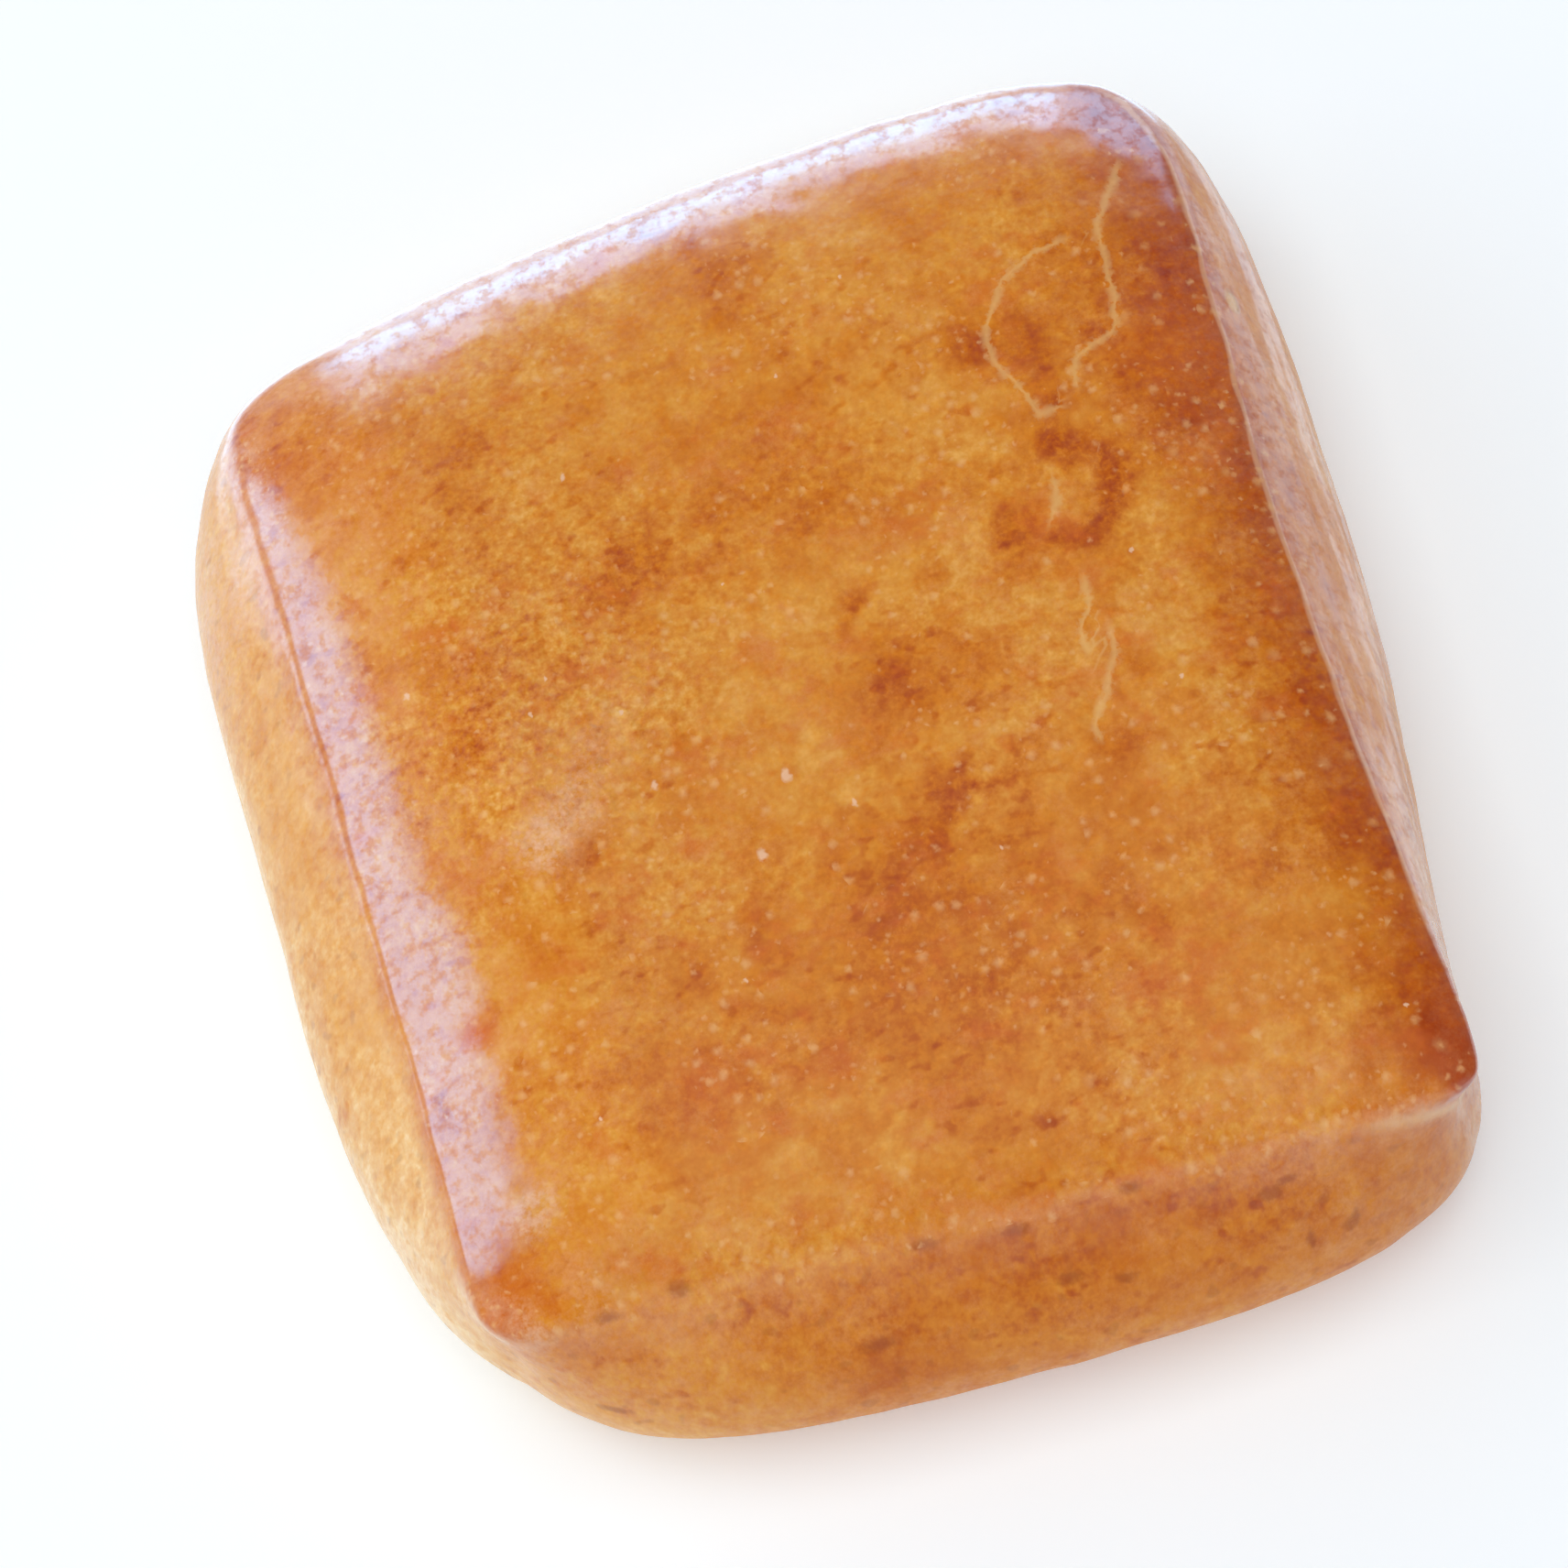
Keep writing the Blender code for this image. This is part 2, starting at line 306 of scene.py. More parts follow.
# The wet-looking part of the glaze along the left ridge ends here on its way in: points y, x in mm
SHEEN_EDGE = (
    (-42.0, -42.0),
    (-39.5, -39.5),
    (-38.0, -33.6),
    (-35.5, -32.4),
    (-33.0, -33.6),
    (-30.5, -35.2),
    (-27.9, -34.6),
    (-21.0, -34.6),
    (-18.5, -36.0),
    (-16.5, -34.0),
    (-11.1, -33.6),
    (-3.2, -36.0),
    (10.4, -36.2),
    (19.5, -36.4),
    (25.0, -37.0),
    (32.5, -38.4),
    (36.5, -39.6),
    (40.0, -42.0),
)
SHEEN_RAGGED = ((3.0, 91.0, 0.7),)

# Beyond the edge the glaze is thin, and this far past it, in mm, the rest of the top begins
SHEEN_REACH = 13.0

# A painted highlight along a fold under the ridge at the front right corner: points x, y, z and its half
# width, in mm
FOLD_HIGHLIGHT = (
    (43.4, -46.4, 21.0),
    (42.0, -48.0, 25.0),
    (40.1, -49.3, 27.0),
    (37.5, -49.6, 28.3),
    (33.5, -49.4, 29.4),
)
FOLD_HIGHLIGHT_WIDTH = 1.1

# Purplish brown marks on the front and left sides: x, y, z, half length and half height in mm
MARKS = (
    (3.1, -49.2, 28.9, 1.5, 0.6),
    (-4.2, -48.3, 29.4, 1.3, 0.5),
    (13.6, -49.1, 29.7, 1.1, 0.5),
    (24.7, -51.5, 25.8, 1.1, 0.9),
    (26.3, -51.2, 26.6, 1.0, 0.5),
    (6.7, -53.4, 23.5, 1.2, 0.8),
    (11.1, -54.4, 22.1, 1.1, 0.7),
    (-10.4, -53.2, 21.7, 1.7, 0.9),
    (-25.0, -45.8, 29.8, 1.0, 0.5),
    (-31.3, -45.7, 29.0, 1.2, 0.5),
    (27.2, -54.3, 18.4, 0.5, 1.5),
    (31.5, -53.5, 18.7, 0.5, 1.2),
    (30.6, -53.8, 18.1, 0.5, 1.0),
    (-33.8, -49.9, 15.5, 1.6, 0.7),
)

# A mark lies on the skin, so each mm in or out of the roll counts for no more than this
MARK_DEPTH = 0.3

# Painted glints on single pale blisters of the top: x, y and radius in mm
BLISTER_GLINTS = (
    (-3.6, -6.0, 0.62),
    (-7.6, -12.2, 0.62),
    (-14.6, -3.3, 0.45),
    (1.2, -10.2, 0.30),
    (-33.0, 12.0, 0.35),
    (-14.5, 27.0, 0.35),
    (-15.7, 4.1, 0.30),
    (-23.0, 6.4, 0.26),
    (-21.0, 9.2, 0.24),
    (6.0, 30.0, 0.22),
    (14.0, 37.5, 0.22),
    (-4.0, 12.5, 0.20),
    (12.0, -18.0, 0.22),
    (31.0, -8.0, 0.26),
    (30.5, 4.5, 0.24),
    (-12.0, -22.5, 0.22),
    (-27.0, -30.0, 0.22),
    (40.0, -41.0, 0.24),
)

# One golden bubble on the right side: x, y, z and radius across in mm
BUBBLE = (46.4, 26.5, 28.6, 0.75)

# Fine pale cracks in the glaze: points along each, x and y in mm
CRACKS = (
    (
        *((41.0, 42.2), (38.8, 38.0), (36.8, 35.4), (36.5, 31.8)),
        *((36.3, 28.5), (35.4, 25.0), (31.1, 23.4), (30.3, 19.9)),
    ),
    (
        *((34.9, 35.0), (30.4, 34.2), (27.2, 32.3), (24.5, 28.6)),
        *((24.3, 25.4), (26.0, 21.5), (26.6, 19.0), (29.8, 19.3)),
    ),
    ((26.3, 13.9), (26.0, 11.5), (24.1, 8.1)),
    ((25.8, 4.1), (25.6, 0.8), (24.1, -1.5), (23.9, -4.1)),
    ((26.6, -0.7), (26.3, -4.4), (24.5, -7.5), (22.7, -10.2), (22.8, -12.0)),
)
CRACK_REACH = 1.6

# The first and last stretch of each crack fade over this share, and a crack sways by this noise in x and in y
CRACK_TAPER = 0.5
CRACK_SWAY = ((1.8, 5.0, 0.3), (1.8, 9.0, 0.3))

# A look keeps its full strength over this share of its reach
FULL_SHARE = 0.6

# Distances are held at this many mm, which is farther than any look reaches
FAR = 5.0

# The floor glows a little, like a light table, so that the shadow is faint
FLOOR_COLOUR = (0.84, 0.92, 0.99, 1.0)
FLOOR_GLOW = 0.20
FLOOR_GLOW_COLOUR = (0.96, 1.0, 1.08, 1.0)
FLOOR_HALF_WIDTH = 3.0
FLOOR_ROUGHNESS = 0.9
FLOOR_SPECULAR = 0.1

# Soft boxes: degrees round from the back to the right, degrees up, distance in metres, size in metres,
# radiance, colour, and whether matt and glossy surfaces see the box
SOFT_BOXES = {
    "low_back_box": (-4.0, 9.0, 1.2, (1.00, 0.38), 7.8, (0.28, 0.76, 1.26), False, True),
    "high_back_box": (-2.0, 25.0, 1.2, (1.00, 0.28), 4.4, (0.32, 0.68, 1.12), False, True),
    "corner_box": (34.0, 16.0, 1.2, (0.66, 0.66), 4.1, (0.38, 0.68, 1.06), False, True),
    "left_corner_box": (-38.0, 17.0, 1.2, (0.34, 0.50), 4.2, (0.40, 0.68, 1.04), False, True),
    "left_box": (-65.0, 38.0, 1.0, (0.54, 0.74), 5.2, (0.23, 0.60, 1.04), False, True),
    "left_light": (-65.0, 45.0, 1.0, (0.80, 0.80), 0.76, (1.00, 1.00, 1.02), True, False),
    "fill_box": (180.0, 84.0, 1.2, (1.0, 1.0), 2.8, (1.04, 1.0, 0.94), True, False),
}

# Bright panels flat on the floor, which only glossy surfaces see: nearest and farthest x and y in metres,
# radiance and colour
FLOOR_PANELS = {
    "back_panel": ((-0.60, 0.06), (0.065, 0.70), 2.4, (0.40, 0.78, 1.18)),
    "corner_panel": ((0.06, 0.60), (0.065, 0.70), 0.8, (0.72, 0.82, 0.98)),
    "right_panel": ((0.060, 0.60), (-0.30, 0.060), 0.42, (0.92, 0.90, 0.90)),
}

# The surroundings are bright at the horizon, and dim to the right and overhead. The shares of a direction's x
# and z between which they turn dim
ZENITH_LIGHT = (0.06, 0.06, 0.06, 1.0)
HORIZON_LIGHT = (0.80, 0.79, 0.80, 1.0)
RIGHT_LIGHT = (0.25, 0.25, 0.25, 1.0)
RIGHT_DIMS = (0.2, 0.7)
ZENITH_DIMS = (0.35, 0.90)

# The camera: where it looks, its angles in degrees, its distance, its lens and its sensor in mm, and what it
# sees, in metres
CAMERA_TARGET = Vector((-4.0, -1.05, 20.0)) * MM
CAMERA_ELEVATION = 69.0
CAMERA_ROLL = -17.3
CAMERA_DISTANCE = 520.0 * MM
CAMERA_LENS = 136.0
CAMERA_SENSOR = 36.0
CAMERA_NEAREST, CAMERA_FARTHEST = 0.01, 20.0


def corner_at(a, b):
    """The name of the corner in the quarter of the unit square that holds (a, b)."""
    return ("front" if b < 0 else "back") + ("_left" if a < 0 else "_right")


def side_at(a, b):
    """The name of the side that (a, b) looks at, and how far along that side it lies, from -1 to 1."""
    if abs(a) >= abs(b):
        return ("left" if a < 0 else "right"), b / max(abs(a), 1e-9)
    return ("front" if b < 0 else "back"), a / abs(b)


def between_corners(values, a, b):
    """A value that runs evenly between those of the four corners, at (a, b) of the unit square."""
    near = values["front_left"] * (1 - a) + values["front_right"] * (1 + a)
    far = values["back_left"] * (1 - a) + values["back_right"] * (1 + a)
    return (near * (1 - b) + far * (1 + b)) / 4


def along_side(values, a, b, power=1.0):
    """The side's value at its middle, fading to nothing at its corners."""
    side, along = side_at(a, b)
    return values[side] * (1 - along * along) ** power


def swell_at(a, b):
    """How far the side swells past the ridge at (a, b) on the rim: a smooth curve through its stations."""
    side, along = side_at(a, b)
    values = SWELL[side]
    gaps = len(values) - 1
    values = (2 * values[0] - values[1], *values, 2 * values[-1] - values[-2])
    place = (along + 1) / 2 * gaps
    start = min(int(place), gaps - 1)
    t = place - start
    p, q, r, s = values[start : start + 4]
    return MM * (q + t * (r - p + t * (2 * p - 5 * q + 4 * r - s + t * (3 * (q - r) + s - p))) / 2)


def rounded(a, b, belly):
    """(a, b) of the unit square, drawn in where the outline turns a corner.

    belly goes from 0 at the ridge to 1 at the widest line below it.
    """
    if a == 0 and b == 0:
        return a, b
    angle = math.atan2(b, a)
    corner = corner_at(a, b)
    power = 1 / ((1 - belly) / RIDGE_POWER[corner] + belly / BELLY_POWER[corner])
    reach = (abs(math.cos(angle)) ** power + abs(math.sin(angle)) ** power) ** (-1 / power)
    reach *= max(abs(a), abs(b))
    return reach * math.cos(angle), reach * math.sin(angle)


def plan(a, b, belly=0.0):
    """The point over (a, b) of the unit square, whose rim is the bowed outline with its corners rounded."""
    a, b = rounded(a, b, belly)
    point = between_corners(CORNERS, a, b)
    across = (BOW["right"] * (1 + a) - BOW["left"] * (1 - a)) / 2 * (1 - b * b)
    deep = (BOW["back"] * (1 + b) - BOW["front"] * (1 - b)) / 2 * (1 - a * a)
    return point + Vector((across, deep))


def outward(a, b, belly=0.0):
    """The way out of the roll, level and square to the outline, at (a, b) on the rim."""
    side, _ = side_at(a, b)
    turns = {"left": (0, -RIM_STEP), "right": (0, RIM_STEP), "front": (RIM_STEP, 0), "back": (-RIM_STEP, 0)}
    turn = turns[side]
    ahead = on_rim(a + turn[0], b + turn[1])
    behind = on_rim(a - turn[0], b - turn[1])
    run = plan(*ahead, belly) - plan(*behind, belly)
    return Vector((run.y, -run.x)).normalized()


def on_rim(a, b):
    """(a, b) moved straight out from the middle to the rim of the unit square."""
    ring = max(abs(a), abs(b))
    return a / ring, b / ring


def ridge_height(a, b):
    """The ridge's height over (a, b). It is arched between its corners, and drops just before each."""
    drop = CORNER_DROP[corner_at(a, b)] * abs(a * b) ** 5
    return between_corners(RIDGE_HEIGHT, a, b) + along_side(dict.fromkeys(BOW, RIDGE_ARCH), a, b) - drop


def softness_at(a, b):
    """How soft the ridge is at (a, b) on the rim, or further in on the same line."""
    _, along = side_at(a, b)
    return along_side(SOFTNESS, a, b, 0.5) + CORNER_SOFTNESS[corner_at(a, b)] * along**4


def top_point(a, b, ring):
    """A cage point on the top. ring counts the rings in from the ridge."""
    inset, crisp, soft = TOP_RINGS[ring]
    share = 1 - inset / HALF_SPAN
    softness = softness_at(a, b)
    level = ridge_height(a, b) * share**2 + between_corners(RIDGE_HEIGHT, 0, 0) * (1 - share**2)
    x, y = plan(a, b)
    return Vector((x, y, level + crisp + (soft - crisp) * softness))


def side_point(a, b, row):
    """A cage point on the side, under (a, b) of the rim. row counts down from the ridge."""
    height, swell_share, belly, pinch_share, offset = SIDE_ROWS[row]
    pinch = between_corners(CORNER_PINCH, a, b) * max(2 * abs(a * b) - 1, 0)
    out = swell_share * swell_at(a, b) - pinch_share * pinch + offset
    x, y = plan(a, b, belly) + outward(a, b, belly) * out
    return Vector((x, y, height * ridge_height(a, b)))


def base_point(a, b, ring):
    """A cage point on the flat base, the shape of the last row of the side drawn in towards the middle."""
    share = 1 - TOP_RINGS[ring][0] / HALF_SPAN
    if share == 0:
        return Vector((0, 0, 0))
    x, y, _ = side_point(*on_rim(a, b), len(SIDE_ROWS) - 1)
    return Vector((x * share, y * share, 0))


def wave(point):
    """The slow unevenness of the dough at a point, in metres."""
    return WAVE_DEPTH * noise.noise(point / WAVE_LENGTH + WAVE_ORIGIN)


def uneven(point, a, b):
    """The point pushed out or in by the slow waves. The base stays flat."""
    depth = wave(point) * min(point.z / WAVE_FADE, 1)
    way = Vector((*outward(*on_rim(a, b)), 0)) if max(abs(a), abs(b)) == 1 else Vector((0, 0, 1))
    return point + way * depth


def rim_of(grid):
    """The grid's outer places in one loop, anticlockwise from above, starting at the front left corner."""
    last = len(grid) - 1
    front = [(i, 0) for i in range(last)]
    right = [(last, j) for j in range(last)]
    back = [(last - i, last) for i in range(last)]
    left = [(0, last - j) for j in range(last)]
    return front + right + back + left


def cage():
    """The coarse closed mesh. Each vertex knows its place: across and deep over the unit square, and down.

    down is the share of the ridge's height below the ridge. On the top it is minus the share of the way in to
    the middle, and on the base it is 1 and the share of the way in.
    """
    bm = bmesh.new()
    across = bm.verts.layers.float.new("across")
    deep = bm.verts.layers.float.new("deep")
    down = bm.verts.layers.float.new("down")
    crease = bm.edges.layers.float.new("crease_edge")

    def vertex(point, a, b, depth):
        made = bm.verts.new(point)
        made[across] = a
        made[deep] = b
        made[down] = depth
        return made

    insets = [inset / HALF_SPAN for inset, _, _ in TOP_RINGS]
    lines = [inset - 1 for inset in insets] + [1 - inset for inset in insets[-2::-1]]
    last = len(lines) - 1
    top, base = [], []
    for i, a in enumerate(lines):
        rings = [min(i, j, last - i, last - j) for j in range(last + 1)]
        top.append([vertex(uneven(top_point(a, b, k), a, b), a, b, -insets[k]) for b, k in zip(lines, rings)])
        base.append([vertex(base_point(a, b, k), a, b, 1 + insets[k]) for b, k in zip(lines, rings)])
    rim = rim_of(top)
    places = [(lines[i], lines[j]) for i, j in rim]
    loops = [[top[i][j] for i, j in rim]]
    for row in range(len(SIDE_ROWS) - 1):
        depth = 1 - SIDE_ROWS[row][0]
        loops.append([vertex(uneven(side_point(a, b, row), a, b), a, b, depth) for a, b in places])
    loops.append([base[i][j] for i, j in rim])

    for i in range(last):
        for j in range(last):
            bm.faces.new((top[i][j], top[i + 1][j], top[i + 1][j + 1], top[i][j + 1]))
            bm.faces.new((base[i][j], base[i][j + 1], base[i + 1][j + 1], base[i + 1][j]))
    for upper, lower in zip(loops, loops[1:]):
        for n in range(len(rim)):
            after = (n + 1) % len(rim)
            bm.faces.new((upper[n], lower[n], lower[after], upper[after]))
    ridge = loops[0]
    for n, (a, b) in enumerate(places):
        edge = bm.edges.get((ridge[n], ridge[(n + 1) % len(ridge)]))
        edge[crease] = RIDGE_CREASE * (1 - softness_at(a, b))
    mesh = bpy.data.meshes.new("crust_skin")
    bm.to_mesh(mesh)
    bm.free()
    return mesh


def apply_rounding(piece):
    """Rounds the cage for good, so that the relief can move the fine mesh's own points."""
    rounding = piece.modifiers.new("Rounding", "SUBSURF")
    rounding.levels = CAGE_ROUNDING
    rounding.render_levels = CAGE_ROUNDING
    bpy.context.view_layer.update()
    fine = bpy.data.meshes.new_from_object(piece.evaluated_get(bpy.context.evaluated_depsgraph_get()))
    piece.modifiers.clear()
    piece.data = fine
    piece.data.shade_smooth()


def read_vectors(mesh, name):
    """A vector for each point of the mesh: its place, called co, or its normal."""
    vectors = np.empty(len(mesh.vertices) * 3)
    mesh.vertices.foreach_get(name, vectors)
    return vectors.reshape(-1, 3)


def write_points(mesh, points):
    mesh.vertices.foreach_set("co", points.ravel())
    mesh.update()


def read_number(mesh, name):
    numbers = np.empty(len(mesh.vertices))
    mesh.attributes[name].data.foreach_get("value", numbers)
    return numbers


def write_number(mesh, name, numbers):
    attribute = mesh.attributes.new(name, "FLOAT", "POINT")
    attribute.data.foreach_set("value", np.asarray(numbers, np.float32))


def noise_at(points, wavelength, origin):
    """Smooth noise from about -1 to 1 at each point. points and wavelength are in mm."""
    places = points @ OBLIQUE / wavelength + origin
    return np.array([noise.noise(Vector(place)) for place in places])


def layers(points, noises):
    """Several layers of noise together. Each has its wavelength in mm, its origin and its strength."""
    return sum(strength * noise_at(points, wavelength, origin) for wavelength, origin, strength in noises)


def smooth_step(low, high, values):
    t = np.clip((values - low) / (high - low), 0, 1)
    return t * t * (3 - 2 * t)


def drifts(points, drift):
    """1 in drifts and 0 between them."""
    wavelength, origin, low, high = drift
    return smooth_step(low, high, noise_at(points, wavelength, origin))


def within(distance, reach):
    """1 near, fading to 0 over the last part of the reach."""
    return smooth_step(reach, FULL_SHARE * reach, distance)


def bell(distance, reach):
    """1 where the distance is 0, falling softly to nothing beyond the reach."""
    return np.exp(-((distance / reach) ** 2))


def patch(points, values, ragged=1.0):
    """What a named patch adds at each point, in mm. values are its x, y, radius and amount."""
    x, y, radius, amount = values
    return amount * bell(np.hypot(points[:, 0] - x, points[:, 1] - y), radius * ragged)


def stretches(line):
    """The line's stretches, each from one of its points to the next."""
    places = [np.array(place) for place in line]
    return list(zip(places, places[1:]))


def nearest_on(points, start, end):
    """The share of the way from start to end where each point comes closest, and the way from there to it."""
    run = end - start
    t = np.clip(((points - start) @ run) / (run @ run), 0, 1)
    return t, points - (start + t[:, None] * run)


def roughen(mesh):
    """Pushes the skin in and out by the crust's relief, except on the flat base."""
    points = read_vectors(mesh, "co")
    normals = read_vectors(mesh, "normal")
    down = read_number(mesh, "down")
    depth = np.zeros(len(points))
    for layer, (wavelength, amount) in enumerate(RELIEF):
        depth += amount * MM * noise_at(points / MM, wavelength, RELIEF_ORIGIN * (layer + 1))
    depth *= 1 - smooth_step(*RELIEF_ENDS, down)
    write_points(mesh, points + normals * depth[:, None])


def fit_to_box(mesh, low, high):
    """Moves and scales the skin by a hair, so that its box is the CAD solid's."""
    points = read_vectors(mesh, "co")
    low_now, high_now = points.min(axis=0), points.max(axis=0)
    low, high = np.array(low), np.array(high)
    scale = (high - low) / (high_now - low_now)
    write_points(mesh, low + (points - low_now) * scale)


def side_shares(normals):
    """How much each point looks to the left, right, front and back."""
    squares = {
        "left": np.clip(-normals[:, 0], 0, None) ** 2,
        "right": np.clip(normals[:, 0], 0, None) ** 2,
        "front": np.clip(-normals[:, 1], 0, None) ** 2,
        "back": np.clip(normals[:, 1], 0, None) ** 2,
    }
    total = sum(squares.values()) + 1e-9
    return {side: square / total for side, square in squares.items()}


def by_side(values, shares):
    """The sides' values, mixed by how much each point looks towards each side."""
    return sum(values[side] * share for side, share in shares.items())


def inset_from(across, deep):
    """How far each point lies inside each ridge, in mm along the top."""
    span = HALF_SPAN / MM
    return {
        "left": (1 + across) * span,
        "right": (1 - across) * span,
        "front": (1 + deep) * span,
        "back": (1 - deep) * span,
    }


def top_bake(points, inset):
    """How far baked the top is: evenly so, and browner along the ridges and at the corners."""
    ragged = 1 + layers(points, RIDGE_RAGGED)
    bake = np.full(len(points), TOP_BAKE)
    for side, (amount, reach) in RIDGE_BROWNING.items():
        bake += amount * bell(inset[side], reach * ragged)
    for corner, (amount, reach) in CORNER_BROWNING.items():
        end, side = corner.split("_")
        bake += amount * bell(np.hypot(inset[end], inset[side]), reach * ragged)
    return bake


def blotches(points):
    """How much browner the named blotches make each point of the top."""
    ragged = 1 + layers(points, BLOTCH_RAGGED)
    browner = sum(patch(points, blotch, ragged) for blotch in BLOTCHES)
    ring_x, ring_y, radius, width, amount = RING
    x, y = points[:, 0] - ring_x, points[:, 1] - ring_y
    facing = np.sqrt(0.5 + 0.5 * np.cos(np.arctan2(y, x) + RING_TURN))
    width = width * (1 - RING_RAGGED + RING_RAGGED * ragged)
    return browner + amount * facing * bell(np.hypot(x, y) - radius, width)


def haze_and_sheen(points, inset):
    """The haze and painted sheen: a little all over, more inside three ridges and in the named patches."""
    ragged = 1 + layers(points, HAZE_AND_SHEEN_RAGGED)
    share = np.full(len(points), HAZE_AND_SHEEN_ALL_OVER)
    for side, (amount, middle, reach) in RIDGE_HAZE_AND_SHEEN.items():
        share += amount * bell(inset[side] - middle, reach * ragged)
    for values in HAZE_AND_SHEEN_PATCHES:
        share += patch(points, values, ragged)
    return share


def redness(points):
    """How red the top is in the named patches."""
    ragged = 1 + layers(points, RED_RAGGED)
    return np.max([patch(points, values, ragged) for values in RED_PATCHES], axis=0)


def past_sheen(points):
    """How far, in mm, each point lies past the inner edge of the wet-looking part along the left ridge."""
    places, edge = zip(*SHEEN_EDGE)
    return points[:, 0] - np.interp(points[:, 1], places, edge) + layers(points, SHEEN_RAGGED)


def fold_highlight(points):
    """How much painted highlight the fold under the front right corner has at each point. It tapers to its
    end.
    """
    share = np.zeros(len(points))
    last = len(FOLD_HIGHLIGHT) - 1
    for n, (start, end) in enumerate(stretches(FOLD_HIGHLIGHT)):
        t, gap = nearest_on(points, start, end)
        taper = np.sqrt(1 - (n + t) / last)
        share = np.maximum(share, taper * bell(np.linalg.norm(gap, axis=1), FOLD_HIGHLIGHT_WIDTH))
    return share


def mark_gap(points):
    """How far each point is from the nearest named mark, where 1 is that mark's own edge."""
    gap = np.full(len(points), FAR)
    for x, y, z, length, height in MARKS:
        scale = np.array((1 / length, MARK_DEPTH, 1 / height))
        gap = np.minimum(gap, np.linalg.norm((points - (x, y, z)) * scale, axis=1))
    return gap


def side_bake(shares, down):
    """How far baked the sides are: paler towards the base."""
    upper = by_side(SIDE_BAKE, shares)
    lower = by_side(LOW_SIDE_BAKE, shares)
    return upper + (lower - upper) * smooth_step(*PALER_FROM, down)


def crack_distance(points):
    """The signed distance to the nearest crack in mm, and how strong that crack is there, from 0 to 1."""
    nearest = np.full(len(points), np.inf)
    signed = np.zeros(len(points))
    strength = np.zeros(len(points))
    for line in CRACKS:
        runs = stretches(line)
        for n, (start, end) in enumerate(runs):
            t, gap = nearest_on(points, start, end)
            distance = np.hypot(gap[:, 0], gap[:, 1])
            across, deep = end - start
            turn = np.sign(across * gap[:, 1] - deep * gap[:, 0])
            fade = np.ones(len(points))
            if n == 0:
                fade = smooth_step(0, CRACK_TAPER, t)
            if n == len(runs) - 1:
                fade = np.minimum(fade, smooth_step(0, CRACK_TAPER, 1 - t))
            closer = distance < nearest
            nearest = np.where(closer, distance, nearest)
            signed = np.where(closer, distance * turn, signed)
            strength = np.where(closer, fade, strength)
    return signed, strength * within(nearest, CRACK_REACH)


def blistered(inset, along):
    """How many larger blisters there are at each point: they lie in bands inside two ridges."""
    bands = []
    for side, (amount, middle, reach, begins) in BLISTER_BANDS.items():
        bands.append(amount * bell(inset[side] - middle, reach) * smooth_step(*begins, along[side]))
    return np.max(bands, axis=0)


def mark_crust(mesh):
    """Writes what the crust's material reads, such as how baked each point is and how far from a crack."""
    points = read_vectors(mesh, "co") / MM
    across, deep, down = (read_number(mesh, name) for name in ("across", "deep", "down"))
    inset = inset_from(across, deep)
    shares = side_shares(read_vectors(mesh, "normal"))
    on_side = smooth_step(*SIDE_BEGINS, down)
    on_top = 1 - on_side
    on_base = smooth_step(*BASE_BEGINS, down)

    bake = top_bake(points, inset) * on_top + side_bake(shares, down) * on_side
    for values in SIDE_PATCHES:
        bake += patch(points, values) * on_side
    bake += (BASE_BAKE - bake) * on_base
    bake += MOTTLE_BROWNING * drifts(points, MOTTLE_DRIFTS)

    side_glaze = (by_side(SIDE_GLAZE, shares) - 1) * smooth_step(*SIDE_GLAZE_BEGINS, down)
    past = past_sheen(points)
    corner = CORNERS["front_right"] / MM
    from_corner = np.hypot(points[:, 0] - corner.x, points[:, 1] - corner.y)
    streaks = by_side(SIDE_STREAKS, shares) * smooth_step(*STREAKS_BEGIN, from_corner)
    crest = bell(inset["front"], CREST_REACH) * smooth_step(*CREST_ENDS, down)
    below = np.where(down < 0, down * HALF_SPAN, down * RIDGE_HEIGHT["front_right"]) / MM
    leathery = patch(points, LEATHERY_PATCH)
    grain = GRAIN_IN_DRIFTS * drifts(points, GRAIN_DRIFTS) + GRAIN_ON_LEATHER * leathery
    sway = np.stack([layers(points, [one]) for one in CRACK_SWAY], axis=1)
    signed, strength = crack_distance(points[:, :2] + sway)
    numbers = {
        "bake": bake,
        "blotch": blotches(points) * on_top,
        "side": on_side,
        "glaze": (1 + side_glaze) * (1 - on_base),
        "past_sheen": np.clip(past, -FAR, FAR),
        "by_sheen": within(past, SHEEN_REACH) * on_top,
        "base": on_base,
        "streaks": streaks * on_side * (1 - on_base),
        "crest": crest * drifts(points, CREST_DRIFTS),
        "below_ridge": np.clip(below + layers(points, RIDGE_HIGHLIGHT_SWAY), -FAR, FAR),
        "ridge_highlight": smooth_step(*RIDGE_HIGHLIGHT_ACROSS, across) * smooth_step(*RIDGE_HIGHLIGHT_DEEP, deep),
        "haze_and_sheen": haze_and_sheen(points, inset) * (1 - SIDE_HAZE_AND_SHEEN_LOSS * on_side),
        "mark_gap": mark_gap(points),
        "fold_highlight": fold_highlight(points) * smooth_step(*FOLD_HIGHLIGHT_BEGINS, down),
        "red": redness(points),
        "leathery": leathery * on_top,
        "specked": np.maximum(drifts(points, SPECK_DRIFTS), leathery),
        "grainy": GRAIN_ALL_OVER + grain,
        "dotted": DOTS_ALL_OVER + DOTS_IN_DRIFTS * drifts(points, DOT_DRIFTS),
        "crack": np.clip(signed, -FAR, FAR),
        "crack_strength": strength * (down < 0),
        "blistered": blistered(inset, {"right": deep, "front": across}) * on_top,
    }
    for name, values in numbers.items():
        write_number(mesh, name, values)


